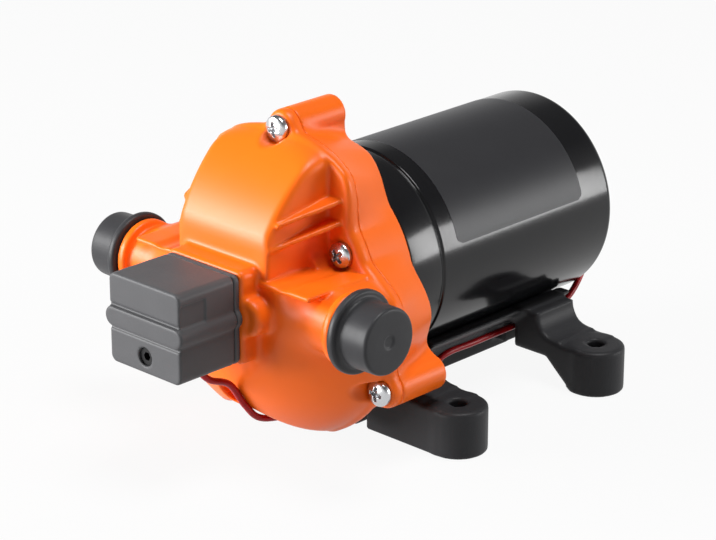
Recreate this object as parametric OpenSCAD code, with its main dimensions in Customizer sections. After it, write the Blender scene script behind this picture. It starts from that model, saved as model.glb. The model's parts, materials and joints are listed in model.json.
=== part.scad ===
// Caravan water pump: a three chamber 12 V diaphragm pump with a pressure switch.
// Millimetres. The pump axis runs along Y with the motor at the back, Z is up,
// and the origin is at the middle of the four mounting holes, under the feet.

/* [Motor] */
// Height of the pump axis above the surface that the feet stand on
axis_h = 55; // [53:1:66]
// Outside diameter of the motor
motor_d = 76; // [72:1:80]
// Length of the motor behind the orange housing
motor_len = 107; // [102:1:125]
// Length of the motor's front bell
bell_len = 15; // [13:1:18]
// Wall of the motor can
can_wall = 2; // [1.5:0.1:2.5]
// Diameter of the rotor shaft
shaft_d = 8; // [7:0.5:8]
// Diameter of the laminated armature
core_d = 58; // [52:1:62]
// Diameter of the commutator
commutator_d = 22; // [20:1:24]

/* [Pump head] */
// Distance from the mounting centre forward to the back of the drive housing
head_back = 40; // [38:1:44]
// Length of the drive housing
drive_len = 22; // [22:1:26]
// Thickness of the flange of the upper housing
flange_t = 5; // [4:0.5:7]
// Radius of the circle of the three corner screws
corner_screw_r = 55; // [54:0.5:58]
// Radius of the circle of the three inner screws
inner_screw_r = 34.4; // [34:0.2:35]
// Radius of the lobes at the front flange
lobe_r_front = 56; // [54:0.5:57]
// Radius of the lobes at the motor
lobe_r_rear = 47.3; // [45:0.1:49]
// Width of a lobe at the front flange
lobe_w_front = 63; // [58:1:66]
// Width of a lobe at the motor
lobe_w_rear = 43; // [38:1:46]
// Radius between the lobes at the front flange
waist_r_front = 43; // [42:0.5:45]
// Radius between the lobes at the motor
waist_r_rear = 38.3; // [38:0.1:40]
// How much larger the radius of the domed front is than that of the lobes
dome_over = 7; // [5:0.5:12]
// How much smaller the radius of the nose is than that of the domed front
nose_flat = 1.5; // [1:0.25:3]
// Length of the domed front
nose_len = 27; // [25:1:30]
// Width of the nose at the flange
nose_w_back = 48; // [44:1:50]
// Width of the nose at its front
nose_w_front = 40; // [37:1:42]
// Height of the side shelves above the pump axis
shelf_h = 12; // [11:0.5:14]
// Distance from the pump axis to the edge of a side shelf
shelf_out = 42; // [38:0.5:44]

/* [Ports] */
// Distance over the two port caps
port_span = 134; // [130:1:140]
// Distance from the flange forward to the port axis
port_forward = 16; // [14:1:17]
// Height of the port axis above the pump axis
port_rise = 1; // [0:0.5:2]
// Outside diameter of the half inch port thread
port_thread_d = 20.955; // [20.6:0.005:21.2]
// Bore of a port
port_bore_d = 13; // [10:0.5:14]
// Outside diameter of a port cap
cap_d = 23.4; // [23:0.1:24.5]
// Diameter of the rim of a port cap
cap_rim_d = 29; // [27:0.5:31]
// Length of a port cap
cap_len = 15; // [13:0.5:16]

/* [Pressure switch] */
// Width of the switch box
switch_w = 34; // [32:1:38]
// Height of the switch box
switch_h = 31.8; // [30:0.2:36]
// Depth of the switch box
switch_d = 27.4; // [27:0.2:32]
// Radius of the long edges of the switch box
switch_corner = 3.5; // [2:0.5:5]
// Height of the belt round the box
belt_h = 7.2; // [5:0.2:8]
// How far the belt stands out
belt_out = 1.6; // [1:0.1:2.5]
// Diameter of the adjusting hole
adjust_hole_d = 6.5; // [6:0.1:7.5]

/* [Mounting] */
// Spacing of the mounting holes across the pump
bolt_x = 112; // [108:1:120]
// Spacing of the mounting holes along the pump
bolt_y = 74; // [72:1:82]
// Diameter of a mounting hole
bolt_hole_d = 6.5; // [5.5:0.1:7]
// Diameter of a foot
foot_d = 21; // [19:0.5:23]
// Height of a foot
foot_h = 17; // [16:0.5:18]
// Height that the arms rise from the feet to the motor
arm_rise = 9; // [7:0.5:10]

/* [Drive] */
// Tilt of the wobble plate
tilt = 6; // [4:0.5:6]
// Radius from the pump axis to the middle of a piston
piston_r = 20; // [19:0.5:21]
// Diameter of a piston
piston_d = 23; // [20:0.5:23]

/* [Hidden] */
$fn = 64;
// clearances: running, loose, seated and hairline, and how far a cut runs past a face
run_gap = 0.05;
part_gap = 0.3;
seat_gap = 0.1;
eps = 0.02;
over = 1;
// longer than anything on the pump
far = 200;

// stations along the pump
y_bell = -head_back;
y_seam = y_bell + bell_len;
y_rear = y_bell + motor_len;
y_split = y_bell - drive_len;
y_flange = y_split - flange_t;
y_port = y_flange - port_forward;
y_nose = y_flange - nose_len;
seat_len = 8;
y_switch = y_nose - seat_len;
y_face = y_switch - switch_d;
dome_r = lobe_r_front + dome_over;
nose_top_r = dome_r - nose_flat;
y_dome = y_flange + sqrt(dome_r * dome_r - lobe_r_front * lobe_r_front);

// screws of the head, with a cross recess given as shares of the head's size
screw_r = 2.5;
screw_hole_r = screw_r + part_gap;
head_r = 4.7;
head_h = 3.2;
pocket_r = 5.1;
screw_bite = 14;
seat_sink = 0.4;
y_seat = y_flange + seat_sink;
pan_edge = 0.6;
pan_round = 1.6;
cross_long = 1.15;
cross_wide = 0.26;
cross_deep = 0.5;
slot_wide = 0.8;
slot_deep = 0.7;
lobe_turns = [0, 120, 240];
waist_turns = [60, 180, 300];
corner_boss_r = 6.2;
web_in = 0.4;
boss_web = corner_boss_r - web_in;
boss_root = 40;
lobe_root = 24;

// head details
dome_lip = 0.8;
shelf_t = 1.8;
rib_t = 1.8;
rib_1 = 33.9;
rib_2 = 26.2;
rib_tilt = 8.8;
rib_start = 0.5;
rib_out = 6;
rib_in = 1;
seat_grow = 0.8;
seat_root = 8;
seat_boss_r = 6;
seat_boss_out = 3.5;
seat_boss_x = nose_w_front / 2 - seat_boss_r + seat_boss_out;
seat_boss_back = 1.5;
outlet_r = 10;
inlet_w = 11;
inlet_h = 22;
cavity_wall = 3;
inlet_x = -outlet_r - cavity_wall;
nose_back = nose_w_back / 2;
nose_front = nose_w_front / 2;

// ports and their caps
port_z = axis_h + port_rise;
thread_r = port_thread_d / 2;
bore_r = port_bore_d / 2;
neck_r = 10.9;
cap_end = port_span / 2;
cap_r = cap_d / 2;
cap_rim_r = cap_rim_d / 2;
cap_rim_t = 3;
cap_floor = 1.6;
cap_mouth = cap_end - cap_len;
cap_fit = 0.2;
collar_gap = 0.5;
collar_step = 0.5;
port_collar_t = 4.5;
port_collar_r = cap_rim_r - collar_step;
thread_short = 1.4;
thread_end = cap_end - cap_floor - thread_short;

// pumping chambers and valves
sheet_t = 2;
seal_t = 1.5;
valve_plate_t = 8;
cavity_r = 26;
chamber_r = 15.5;
valve_stem_r = 1.6;
valve_disc_r = 8;
valve_disc_t = 1;
valve_recess = 1.6;
suction_hole_r = 1.6;
suction_ring_r = 5;
suction_angles = [45:90:315];
suction_rim = 0.4;
delivery_hole_r = 1.5;
delivery_ring_r = 6.5;
delivery_angles = [0:60:300];
delivery_step = 0.2;

// wobble drive
piston_rad = piston_d / 2;
piston_gap = 0.8;
piston_h = 3;
piston_screw_r = 2;
piston_head_r = 2 * piston_screw_r;
piston_head_h = 1.2;
arm_t = 4.5;
arm_w = 13;
arm_r = 7.5;
arm_skin = 1;
stem_step = 1;
pivot_back = piston_h / 2 + (piston_r + piston_rad) * sin(tilt) + 2 * part_gap;
y_pivot = y_split + pivot_back;
ring_step = 0.5;
y_ring = piston_h + ring_step;
wobble_w = 7;
wobble_bore_r = 14;
wobble_hub_r = 17.5;
bore_lip = 2;
hub_r = 6;
inner_ring_t = 2.4;
outer_ring_t = 2.4;
wobble_pitch = (hub_r + inner_ring_t + wobble_bore_r - outer_ring_t) / 2;
wobble_ball_r = 2;
wobble_ball_count = 9;
collar_r = 8;
collar_root = 2;
set_screw_r = 1.2;
set_screw_sink = 0.3;

// motor
motor_r = motor_d / 2;
can_r = motor_r - can_wall;
shaft_r = shaft_d / 2;
shaft_start = 1;
shaft_short = 2;
air_gap = 0.9;
core_r = core_d / 2;
core_len = 36;
core_back = 13;
y_core = y_seam + core_back;
slot_count = 12;
slot_w = 2.4;
slot_d = 9;
magnet_r = core_r + air_gap;
magnet_t = can_r - magnet_r;
magnet_over = 4;
magnet_half = 58;
winding_len = 8;
winding_in = 5;
winding_r = core_r - winding_in;
winding_bore = 4;
commutator_r = commutator_d / 2;
commutator_len = 13;
commutator_neck = 3;
y_commutator = y_core + core_len + winding_len + commutator_neck;
segment_count = 12;
segment_gap = 0.6;
segment_deep = 1;
segment_turn = 15;
spigot_r = 14;
spigot_h = 3;
bell_wall = 5;
bell_step = 1;
bell_bore = 2;
bearing_r = 11;
bearing_w = 7;
bearing_wall = 2;
bearing_lip = 2;
y_bearing = y_bell - spigot_h + bearing_lip;
bearing_pitch = (bearing_r + shaft_r) / 2;
y_hub_end = y_bell - spigot_h - part_gap;
y_hub_screw = y_hub_end - set_screw_r - part_gap;
ball_r = 1.9;
ball_count = 8;
rear_cap_t = 5;
rear_inset = 3;
y_rear_cap = y_rear - rear_inset - rear_cap_t;
y_cap_out = y_rear_cap + rear_cap_t;
rear_boss_r = 9;
rear_boss_len = 8;
rear_hub_r = 13;
rear_hub_h = 1.5;
bush_r = 6.5;
bush_skin = 1.5;
vent_r = 24;
vent_hole_r = 2;
vent_angles = [-70:20:70];
edge_round = 2.5;
can_lip = 1;
// the two long screws stand between the armature and the can
bolt_r = 1.5;
bolt_circle_r = core_r + air_gap + bolt_r;
bolt_head_r = 2.5;
bolt_head_h = 2.4;
bolt_boss_r = 4.2;
bolt_blind = 3;
bolt_end = 4;

// brushes
brush_w = 8;
brush_t = 5;
brush_len = 9;
brush_gap = 0.1;
brush_in = commutator_r + brush_gap;
y_brush = y_commutator + commutator_len / 2;
holder_wall = 0.8;
holder_len = 16;
holder_step = 1.5;
holder_in = brush_in + holder_step;
card_t = 2.5;
card_bore = 3;
y_card = y_brush + brush_w / 2 + holder_wall;
spring_wire_r = 0.35;
spring_r = 1.8;
spring_turns = 5;
spring_sides = 6;
coil_steps = 8;
brush_spring_len = holder_in + holder_len - brush_in - brush_len - 2 * (spring_wire_r + seat_gap);

// pressure switch
switch_rise = 0.4;
switch_z = axis_h + switch_rise;
switch_low = switch_z - switch_h / 2;
switch_wall = 2;
plate_t = 2.5;
belt_mid = 0.6;
belt_front = 0.8;
belt_x = switch_w / 2 - belt_h / 2 + belt_out;
groove_w = 1;
groove_d = 0.6;
dent_top = 12;
dent_h = 8;
dent_back = 12;
dent_d = 0.6;
switch_screw_x = 8;
switch_screw_z = 2;
switch_head_r = 2.6;
switch_head_h = 2;
tap_r = 1.3;
tap_room = 0.2;
screw_deep = 6;
adjust_drop = 9.6;
adjust_z = axis_h - adjust_drop;
adjust_r = adjust_hole_d / 2 - part_gap;
adjust_len = 7;
adjust_sink = 1;
adjust_flange = 0.7;
adjust_flange_t = 1.5;
adjust_back = y_face + switch_wall + adjust_len - adjust_sink;
hex_r = 1.6;
hex_d = 3;
plunger_r = 3.7;
plunger_t = 2;
plunger_stem_r = 2.5;
plunger_room = 3.5;
plunger_travel = 0.8;
stem_bore_step = 0.5;
stem_clear = 1;
lever_w = 6;
y_plunger = y_switch - plate_t - plunger_room;
range_spring_r = 2.9;
range_wire_r = 0.5;
range_turns = 4;
range_len = y_plunger - plunger_t - adjust_back - 2 * (range_wire_r + seat_gap);
micro_w = 20;
micro_h = 8.5;
micro_d = 9;
micro_rise = 6.5;
micro_z = switch_z + micro_rise;
button_r = 1.2;
button_len = 1.6;
button_room = 0.5;
y_micro = y_plunger - plunger_t - button_len - part_gap;
post_x = 7;
post_w = 4;
blade_w = 4.8;
blade_t = 0.8;
blade_len = 7;
blade_x = 7.6;
seal_r = 8;

// base
foot_r = foot_d / 2;
bolt_hole_r = bolt_hole_d / 2;
pad_h = 3;
pad_inset = 1.5;
pad_r = foot_r - pad_inset;
saddle_t = 4;
saddle_r = motor_r + part_gap;
saddle_out_r = saddle_r + saddle_t;
saddle_half = 37;
saddle_over = 6;
saddle_start = 3;
rail_w = 30;
rail_low = 6;
rail_top = 2;
bar_front = -bolt_y / 2 - foot_r;
bar_end = bolt_y / 2 + foot_r;
saddle_back = bar_end + saddle_over;
arch_h = 10.5;
arch_half = 41;
arch_foot = 3;
sweep_dip = 0.3;
room_half = 14;
bracket_screw_y = 22;
bracket_head_r = 4;
bracket_head_h = 2.5;
bracket_recess = 1;
screw_short = 0.2;

// lead and its grommets
lead_r = 1.2;
lead_sides = 8;
lead_steps = 3;
lead_gap = 0.9;
lead_x = 6;
grommet_r = 2.6;
grommet_rim = 1;
grommet_t = 1.4;
grommet_out = 1.5;
lead_room = 5;
y_lead = y_switch - plate_t - lead_room;
lead_low = axis_h - waist_r_front - lead_r - 2.5 * lead_gap;
lead_side_x = 24;
lead_side_z = axis_h - sqrt(saddle_out_r * saddle_out_r - lead_side_x * lead_side_x) - lead_r - 2 * lead_gap;
lead_end_x = 20;
lead_end_drop = 20;
lead_end_z = axis_h - lead_end_drop;
notch_x = 20;
notch_w = 5;
notch_h = 12;
// height of the lead under the domed front
function under_dome(y) = axis_h - lead_r - lead_gap
  - min(waist_r_front - dome_lip, sqrt(dome_r * dome_r - (y - y_dome) * (y - y_dome) - lead_x * lead_x));
lead_route = [[lead_x, y_lead, switch_low + 4], [lead_x, y_lead, switch_low - 2],
  [lead_x, y_lead, switch_low - 4.4], [lead_x, y_lead + 4, switch_low - 8],
  [lead_x, y_nose - 3, under_dome(y_nose) + 3], [lead_x, y_nose + 4, under_dome(y_nose + 4)],
  [lead_x, y_port, under_dome(y_port)], [lead_x + 2, y_flange - 5, lead_low],
  [14, y_flange + 9, lead_low], [notch_x, bar_front, lead_low], [notch_x, bar_front + 10, lead_low],
  [notch_x, bar_front + 20, lead_low + 1], [lead_side_x - 1, bar_front + 31, lead_side_z - 4],
  [lead_side_x, -8, lead_side_z], [lead_side_x, 6, lead_side_z], [lead_side_x, 18, lead_side_z],
  [lead_side_x, bolt_y / 2, lead_side_z], [lead_side_x, bar_end + 2, lead_side_z],
  [lead_side_x, y_rear - 7, lead_side_z + 3], [lead_side_x - 2, y_rear + 2.4, lead_side_z + 9],
  [lead_end_x + 0.6, y_rear + 4.6, lead_end_z - 4], [lead_end_x, y_rear + 3, lead_end_z - 0.4],
  [lead_end_x, y_rear - 1, lead_end_z], [lead_end_x, y_rear_cap + 2, lead_end_z],
  [lead_end_x, y_rear_cap - 2, lead_end_z]];

// Piece to draw, or all of them

// drawing planes and turned copies
module on_axis() {
  translate([0, 0, axis_h]) children();
}
module on_switch() {
  translate([0, 0, switch_z]) children();
}
module on_adjuster() {
  translate([0, 0, adjust_z]) children();
}
module ext_y(y0, y1) {
  translate([0, y1, 0]) rotate([90, 0, 0]) linear_extrude(y1 - y0) children();
}
module rod_y(y0, y1, r) {
  translate([0, y0, 0]) rotate([-90, 0, 0]) cylinder(h = y1 - y0, r = r);
}
module ring_y(y0, y1, r_out, r_in) {
  difference() {
    rod_y(y0, y1, r_out);
    rod_y(y0 - over, y1 + over, r_in);
  }
}
module rod_x(x0, x1, r) {
  translate([x0, 0, 0]) rotate([0, 90, 0]) cylinder(h = x1 - x0, r = r);
}
module turned(list) {
  for (b = list) rotate([0, -b, 0]) children();
}
module tilted() {
  translate([0, y_pivot, axis_h]) rotate([tilt, 0, 0]) children();
}
module both_sides() {
  children();
  mirror([1, 0, 0]) children();
}
// box given by its low and high corners
module block(low, high) {
  translate(low) cube(high - low);
}

// round tube through a list of points, closed at both ends
function unit(v) = v / norm(v);
function way(p, i) = unit(p[min(i + 1, len(p) - 1)] - p[max(i - 1, 0)]);
function side_of(t, last) = unit(last - (last * t) * t);
function frames(p, i = 0, last = [0.2, 0.1, 1]) =
  i == len(p) ? [] : let (s = side_of(way(p, i), last)) concat([s], frames(p, i + 1, s));
module tube(p, r, sides) {
  n = len(p);
  f = frames(p);
  pts = [for (i = [0:n - 1]) let (s = f[i], c = cross(way(p, i), s))
    for (k = [0:sides - 1]) p[i] + r * (cos(360 * k / sides) * s + sin(360 * k / sides) * c)];
  walls = [for (i = [0:n - 2]) for (k = [0:sides - 1])
    let (a = i * sides + k, b = i * sides + (k + 1) % sides)
    each [[a, b, b + sides], [a, b + sides, a + sides]]];
  first = [for (k = [1:sides - 2]) [0, k + 1, k]];
  base = (n - 1) * sides;
  end = [for (k = [1:sides - 2]) [base, base + k, base + k + 1]];
  polyhedron(points = pts, faces = [for (t = concat(first, walls, end)) [t[2], t[1], t[0]]]);
}
// points of a coil spring along Z that starts and ends on its own radius
function coil(r, length, turns) =
  [for (i = [0:turns * coil_steps]) let (a = 360 * i / coil_steps)
    [r * cos(a), r * sin(a), length * i / (turns * coil_steps)]];
// points on a smooth curve through hand placed points
function mix(p, i, t) =
  let (n = len(p) - 1, a = p[max(i - 1, 0)], b = p[i], c = p[i + 1], d = p[min(i + 2, n)])
  0.5 * ((2 * b) + (c - a) * t + (2 * a - 5 * b + 4 * c - d) * t * t + (3 * b - a - 3 * c + d) * t * t * t);
function smooth(p) = concat(
  [for (i = [0:len(p) - 2]) for (k = [0:lead_steps - 1]) mix(p, i, k / lead_steps)], [p[len(p) - 1]]);

// three lobed tapered solid of the head, between two stations, with its corner screw bosses
function at_y(front, back, y) = front + (back - front) * (y - y_flange) / (y_bell - y_flange);
module taper(y0, y1, front, back) {
  r_0 = at_y(front, back, y0);
  r_1 = at_y(front, back, y1);
  translate([0, y0, 0]) rotate([-90, 0, 0]) cylinder(h = y1 - y0, r1 = r_0, r2 = r_1);
}
module trefoil(y0, y1) {
  half_0 = at_y(lobe_w_front, lobe_w_rear, y0) / 2;
  half_1 = at_y(lobe_w_front, lobe_w_rear, y1) / 2;
  taper(y0, y1, waist_r_front, waist_r_rear);
  turned(lobe_turns) {
    intersection() {
      taper(y0, y1, lobe_r_front, lobe_r_rear);
      translate([0, 0, lobe_root]) linear_extrude(far)
        polygon([[-half_0, y0], [half_0, y0], [half_1, y1], [-half_1, y1]]);
    }
    translate([0, 0, corner_screw_r]) rod_y(y0, y1, corner_boss_r);
    block([-boss_web, y0, boss_root], [boss_web, y1, corner_screw_r]);
  }
}
// outline shared by the valve plate, the diaphragm and their seats
module chamber_outline(grow) {
  circle(r = cavity_r + grow);
  for (b = lobe_turns) rotate(b) translate([0, piston_r]) circle(r = chamber_r + grow);
}
module at_corners() {
  turned(lobe_turns) translate([0, 0, corner_screw_r]) children();
}
module at_inner() {
  turned(waist_turns) translate([0, 0, inner_screw_r]) children();
}
module at_pistons() {
  turned(lobe_turns) translate([0, 0, piston_r]) children();
}
module at_bolts() {
  for (s = [-1, 1]) translate([0, 0, s * bolt_circle_r]) children();
}
// pan head screw whose seat is at y = 0 and whose point runs back along Y
module pan_screw(r, bite, r_head, h_head) {
  long = cross_long * r_head / 2;
  wide = cross_wide * r_head / 2;
  floor_y = -h_head + cross_deep * h_head;
  difference() {
    union() {
      rod_y(-h_head, 0, r_head);
      rod_y(-eps, bite, r);
    }
    difference() {
      rod_y(-far, -h_head * pan_edge, r_head * 2);
      translate([0, pan_round * r_head - h_head * pan_edge, 0])
        sphere(r = pan_round * r_head + h_head * (1 - pan_edge));
    }
    block([-wide, -h_head - over, -long], [wide, floor_y, long]);
    block([-long, -h_head - over, -wide], [long, floor_y, wide]);
  }
}

// front of the pump head: flange, domed front, nose, ports, shelves, ribs and switch seat
module upper_housing() {
  color("#f26a1b") on_axis() difference() {
    union() {
      trefoil(y_flange, y_split - eps);
      domed_front();
      both_sides() block([nose_front - over, y_nose, shelf_h - shelf_t], [shelf_out, y_flange + over, shelf_h]);
      side_ribs();
      translate([0, 0, switch_rise]) {
        ext_y(y_switch, y_nose + seat_root) switch_profile(seat_grow);
        for (s = [-1, 1]) translate([s * seat_boss_x, 0, belt_mid])
          rod_y(y_switch + seat_boss_back, y_nose + seat_root, seat_boss_r);
      }
      rod_y(y_split - valve_plate_t - seal_t - cavity_wall, y_flange + over, cavity_r + cavity_wall - part_gap);
      translate([0, y_port, port_rise]) {
        rod_x(-cap_mouth, cap_mouth, neck_r);
        rod_x(-thread_end, thread_end, thread_r);
        both_sides() rod_x(cap_mouth - collar_gap - port_collar_t, cap_mouth - collar_gap, port_collar_r);
      }
    }
    both_sides() translate([0, y_port, port_rise]) difference() {
      rod_x(cap_mouth - collar_gap, far, cap_rim_r + 2 * part_gap);
      rod_x(0, far, thread_r);
    }
    at_corners() screw_seat();
    at_inner() screw_seat();
    ext_y(y_split - valve_plate_t - seal_t, y_split + over) chamber_outline(part_gap);
    rod_y(y_nose + cavity_wall, y_split, outlet_r);
    translate([0, y_port, port_rise]) {
      rod_x(0, far, bore_r);
      rod_x(-far, inlet_x - over, bore_r);
    }
    block([inlet_x - inlet_w, y_port - bore_r, -inlet_h / 2], [inlet_x, y_split, inlet_h / 2]);
    translate([0, 0, -adjust_drop]) rod_y(-far, y_port, plunger_stem_r - stem_bore_step);
    for (x = [-1, 1]) translate([x * switch_screw_x, 0, switch_screw_z])
      rod_y(-far, y_switch + screw_deep + over, tap_r);
  }
}
// outline of the flange's front, drawn in by a narrow lip
module front_outline() {
  circle(r = waist_r_front - dome_lip);
  for (b = lobe_turns) rotate(b) intersection() {
    circle(r = lobe_r_front - dome_lip);
    translate([dome_lip - lobe_w_front / 2, 0]) square([lobe_w_front - 2 * dome_lip, far]);
  }
}
// round front below the shelves, and above them a nose that is curved in one direction only
module domed_front() {
  intersection() {
    ext_y(y_nose, y_flange + over) front_outline();
    union() {
      intersection() {
        translate([0, y_dome, 0]) sphere(r = dome_r);
        block([-far, -far, -far], [far, far, shelf_h]);
      }
      intersection() {
        translate([0, y_dome, 0]) rod_x(-far, far, nose_top_r);
        linear_extrude(far) polygon([[-nose_front, y_nose - over], [nose_front, y_nose - over],
          [nose_back, y_split], [-nose_back, y_split]]);
      }
    }
  }
}
// two ribs on each side of the nose, which rise towards the flange and stop short of the nose's top
module side_ribs() {
  rib_front = nose_front + rib_start;
  rib_back = nose_back + rib_out;
  rib_mid = (y_nose + y_flange) / 2;
  intersection() {
    translate([0, y_dome, 0]) rod_x(-far, far, nose_top_r - rib_in);
    for (z = [rib_1, rib_2]) translate([0, rib_mid, z]) rotate([rib_tilt, 0, 0])
      translate([0, -rib_mid, -rib_t / 2]) linear_extrude(rib_t)
        polygon([[-rib_front, y_nose + over], [rib_front, y_nose + over],
          [rib_back, y_flange + over], [-rib_back, y_flange + over]]);
  }
}
// pocket for a screw head, and the hole for its shank
module screw_seat() {
  rod_y(-far, y_seat, pocket_r);
  rod_y(-far, y_split + over, screw_hole_r);
}

// tapered housing of the wobble drive, open at the front and bored for the motor's spigot
module drive_housing() {
  color("#ef6518") on_axis() difference() {
    trefoil(y_split, y_bell);
    ext_y(y_split - over, y_split + sheet_t) chamber_outline(part_gap);
    ext_y(y_split - over, y_bell - spigot_h) chamber_outline(-cavity_wall);
    rod_y(y_split, y_bell + over, spigot_r + seat_gap);
    at_corners() rod_y(y_split - over, y_flange + screw_bite + over, screw_r);
    at_inner() rod_y(y_split - over, y_flange + screw_bite + over, screw_r);
  }
}
// cup pressed over a port thread, with a rim at its mouth
module port_cap() {
  translate([0, y_port, port_z]) difference() {
    union() {
      rod_x(cap_mouth, cap_end, cap_r);
      rod_x(cap_mouth, cap_mouth + cap_rim_t, cap_rim_r);
    }
    rod_x(cap_mouth - over, cap_end - cap_floor, thread_r + cap_fit);
  }
}
module outlet_cap() {
  color("#3a3a3c") port_cap();
}
module inlet_cap() {
  color("#3a3a3c") mirror([1, 0, 0]) port_cap();
}
module housing_screws() {
  color("#b9bcc0") on_axis() translate([0, y_seat, 0]) {
    at_corners() pan_screw(screw_r, screw_bite, head_r, head_h);
    at_inner() pan_screw(screw_r, screw_bite, head_r, head_h);
  }
}

// plate that carries the valves: three suction seats and the middle delivery seat
module valve_plate() {
  color("#d9d9d2") on_axis() difference() {
    ext_y(y_split - valve_plate_t, y_split) chamber_outline(0);
    at_pistons() {
      rod_y(-far, far, valve_stem_r + seat_gap);
      for (a = suction_angles) rotate([0, a, 0]) translate([suction_ring_r, 0, 0])
        rod_y(-far, far, suction_hole_r);
      rod_y(y_split - valve_recess - seat_gap, far, valve_disc_r + part_gap);
    }
    rod_y(-far, far, valve_stem_r + seat_gap);
    rod_y(-far, y_split - valve_plate_t + valve_recess, outlet_r - delivery_step);
    for (a = delivery_angles) rotate([0, a, 0]) translate([delivery_ring_r, 0, 0])
      rod_y(-far, far, delivery_hole_r);
  }
}
// rubber seal squeezed between the valve plate and the upper housing
module plate_seal() {
  color("#2a2a2a") on_axis() ext_y(y_split - valve_plate_t - seal_t, y_split - valve_plate_t) difference() {
    chamber_outline(0);
    circle(r = outlet_r);
    translate([inlet_x - inlet_w, -inlet_h / 2]) square([inlet_w, inlet_h]);
    for (b = lobe_turns) rotate(b) translate([0, piston_r])
      circle(r = suction_ring_r + suction_hole_r + suction_rim);
  }
}
// umbrella valve that opens backwards: a disc on a stem, with its seat at y = 0
module umbrella() {
  rod_y(0, valve_disc_t, valve_disc_r);
  rod_y(valve_recess - valve_plate_t, eps, valve_stem_r);
}
module inlet_valves() {
  color("#7d2f24") on_axis() at_pistons() translate([0, y_split - valve_recess, 0]) umbrella();
}
module outlet_valve() {
  y_disc = y_split - valve_plate_t + valve_recess - seat_gap;
  color("#7d2f24") on_axis() translate([0, y_disc, 0]) mirror([0, 1, 0]) umbrella();
}
// moulded sheet clamped round its edge, open round each piston
module diaphragm() {
  color("#3b3b3b") on_axis() ext_y(y_split, y_split + sheet_t) difference() {
    chamber_outline(0);
    for (b = lobe_turns) rotate(b) translate([0, piston_r]) circle(r = piston_rad + piston_gap);
  }
}
module pistons() {
  color("#c9c4b4") tilted() at_pistons() difference() {
    union() {
      rod_y(-piston_h / 2, piston_h / 2, piston_rad);
      rod_y(piston_h / 2 - eps, piston_h, arm_r - stem_step);
    }
    rod_y(-far, far, piston_screw_r);
    rod_y(-far, -piston_h / 2 + piston_head_h, piston_head_r);
  }
}
module piston_screws() {
  color("#a7a9ad") tilted() at_pistons() difference() {
    union() {
      rod_y(-piston_h / 2, -piston_h / 2 + piston_head_h, piston_head_r - seat_gap);
      rod_y(-piston_h / 2, piston_h + arm_t - arm_skin, piston_screw_r);
    }
    block([-piston_screw_r, -far, -slot_wide / 2], [piston_screw_r, -piston_h / 2 + slot_deep, slot_wide / 2]);
  }
}
module wobble_plate() {
  color("#8e949c") tilted() difference() {
    union() {
      rod_y(piston_h, y_ring + wobble_w, wobble_hub_r);
      turned(lobe_turns) {
        block([-arm_w / 2, piston_h, wobble_bore_r], [arm_w / 2, piston_h + arm_t, piston_r]);
        translate([0, 0, piston_r]) rod_y(piston_h, piston_h + arm_t, arm_r);
      }
    }
    rod_y(y_ring, far, wobble_bore_r);
    rod_y(-far, far, wobble_bore_r - bore_lip);
    at_pistons() rod_y(-far, piston_h + arm_t - arm_skin, piston_screw_r);
  }
}
// bearing ring with its ball groove, and a row of balls
module race(y0, w, r_out, r_in, pitch, r_ball) {
  translate([0, y0, 0]) rotate([-90, 0, 0]) rotate_extrude() difference() {
    translate([r_in, 0]) square([r_out - r_in, w]);
    translate([pitch, w / 2]) circle(r = r_ball + run_gap);
  }
}
module balls(y_mid, pitch, r, count) {
  for (i = [0:count - 1]) rotate([0, 360 * i / count, 0]) translate([pitch, y_mid, 0]) sphere(r = r);
}
module wobble_outer_ring() {
  color("#9fa3a8") tilted()
    race(y_ring, wobble_w, wobble_bore_r, wobble_bore_r - outer_ring_t, wobble_pitch, wobble_ball_r);
}
module wobble_inner_ring() {
  color("#aeb2b7") tilted() race(y_ring, wobble_w, hub_r + inner_ring_t, hub_r, wobble_pitch, wobble_ball_r);
}
module wobble_balls() {
  color("#c6c9cc") tilted() balls(y_ring + wobble_w / 2, wobble_pitch, wobble_ball_r, wobble_ball_count);
}
// slanted journal on a straight collar, bored for the shaft
module eccentric_hub() {
  color("#6f757c") difference() {
    union() {
      tilted() rod_y(y_ring, y_ring + wobble_w, hub_r);
      difference() {
        on_axis() rod_y(y_pivot + y_ring + wobble_w - collar_root, y_hub_end, collar_r);
        tilted() block([-far, -far, -far], [far, y_ring + wobble_w, far]);
      }
    }
    on_axis() rod_y(-far, far, shaft_r);
    on_axis() translate([0, y_hub_screw, 0]) cylinder(h = far, r = set_screw_r);
  }
}
module hub_set_screw() {
  color("#3c3f43") on_axis() translate([0, y_hub_screw, shaft_r])
    cylinder(h = collar_r - shaft_r - set_screw_sink, r = set_screw_r);
}

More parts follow.
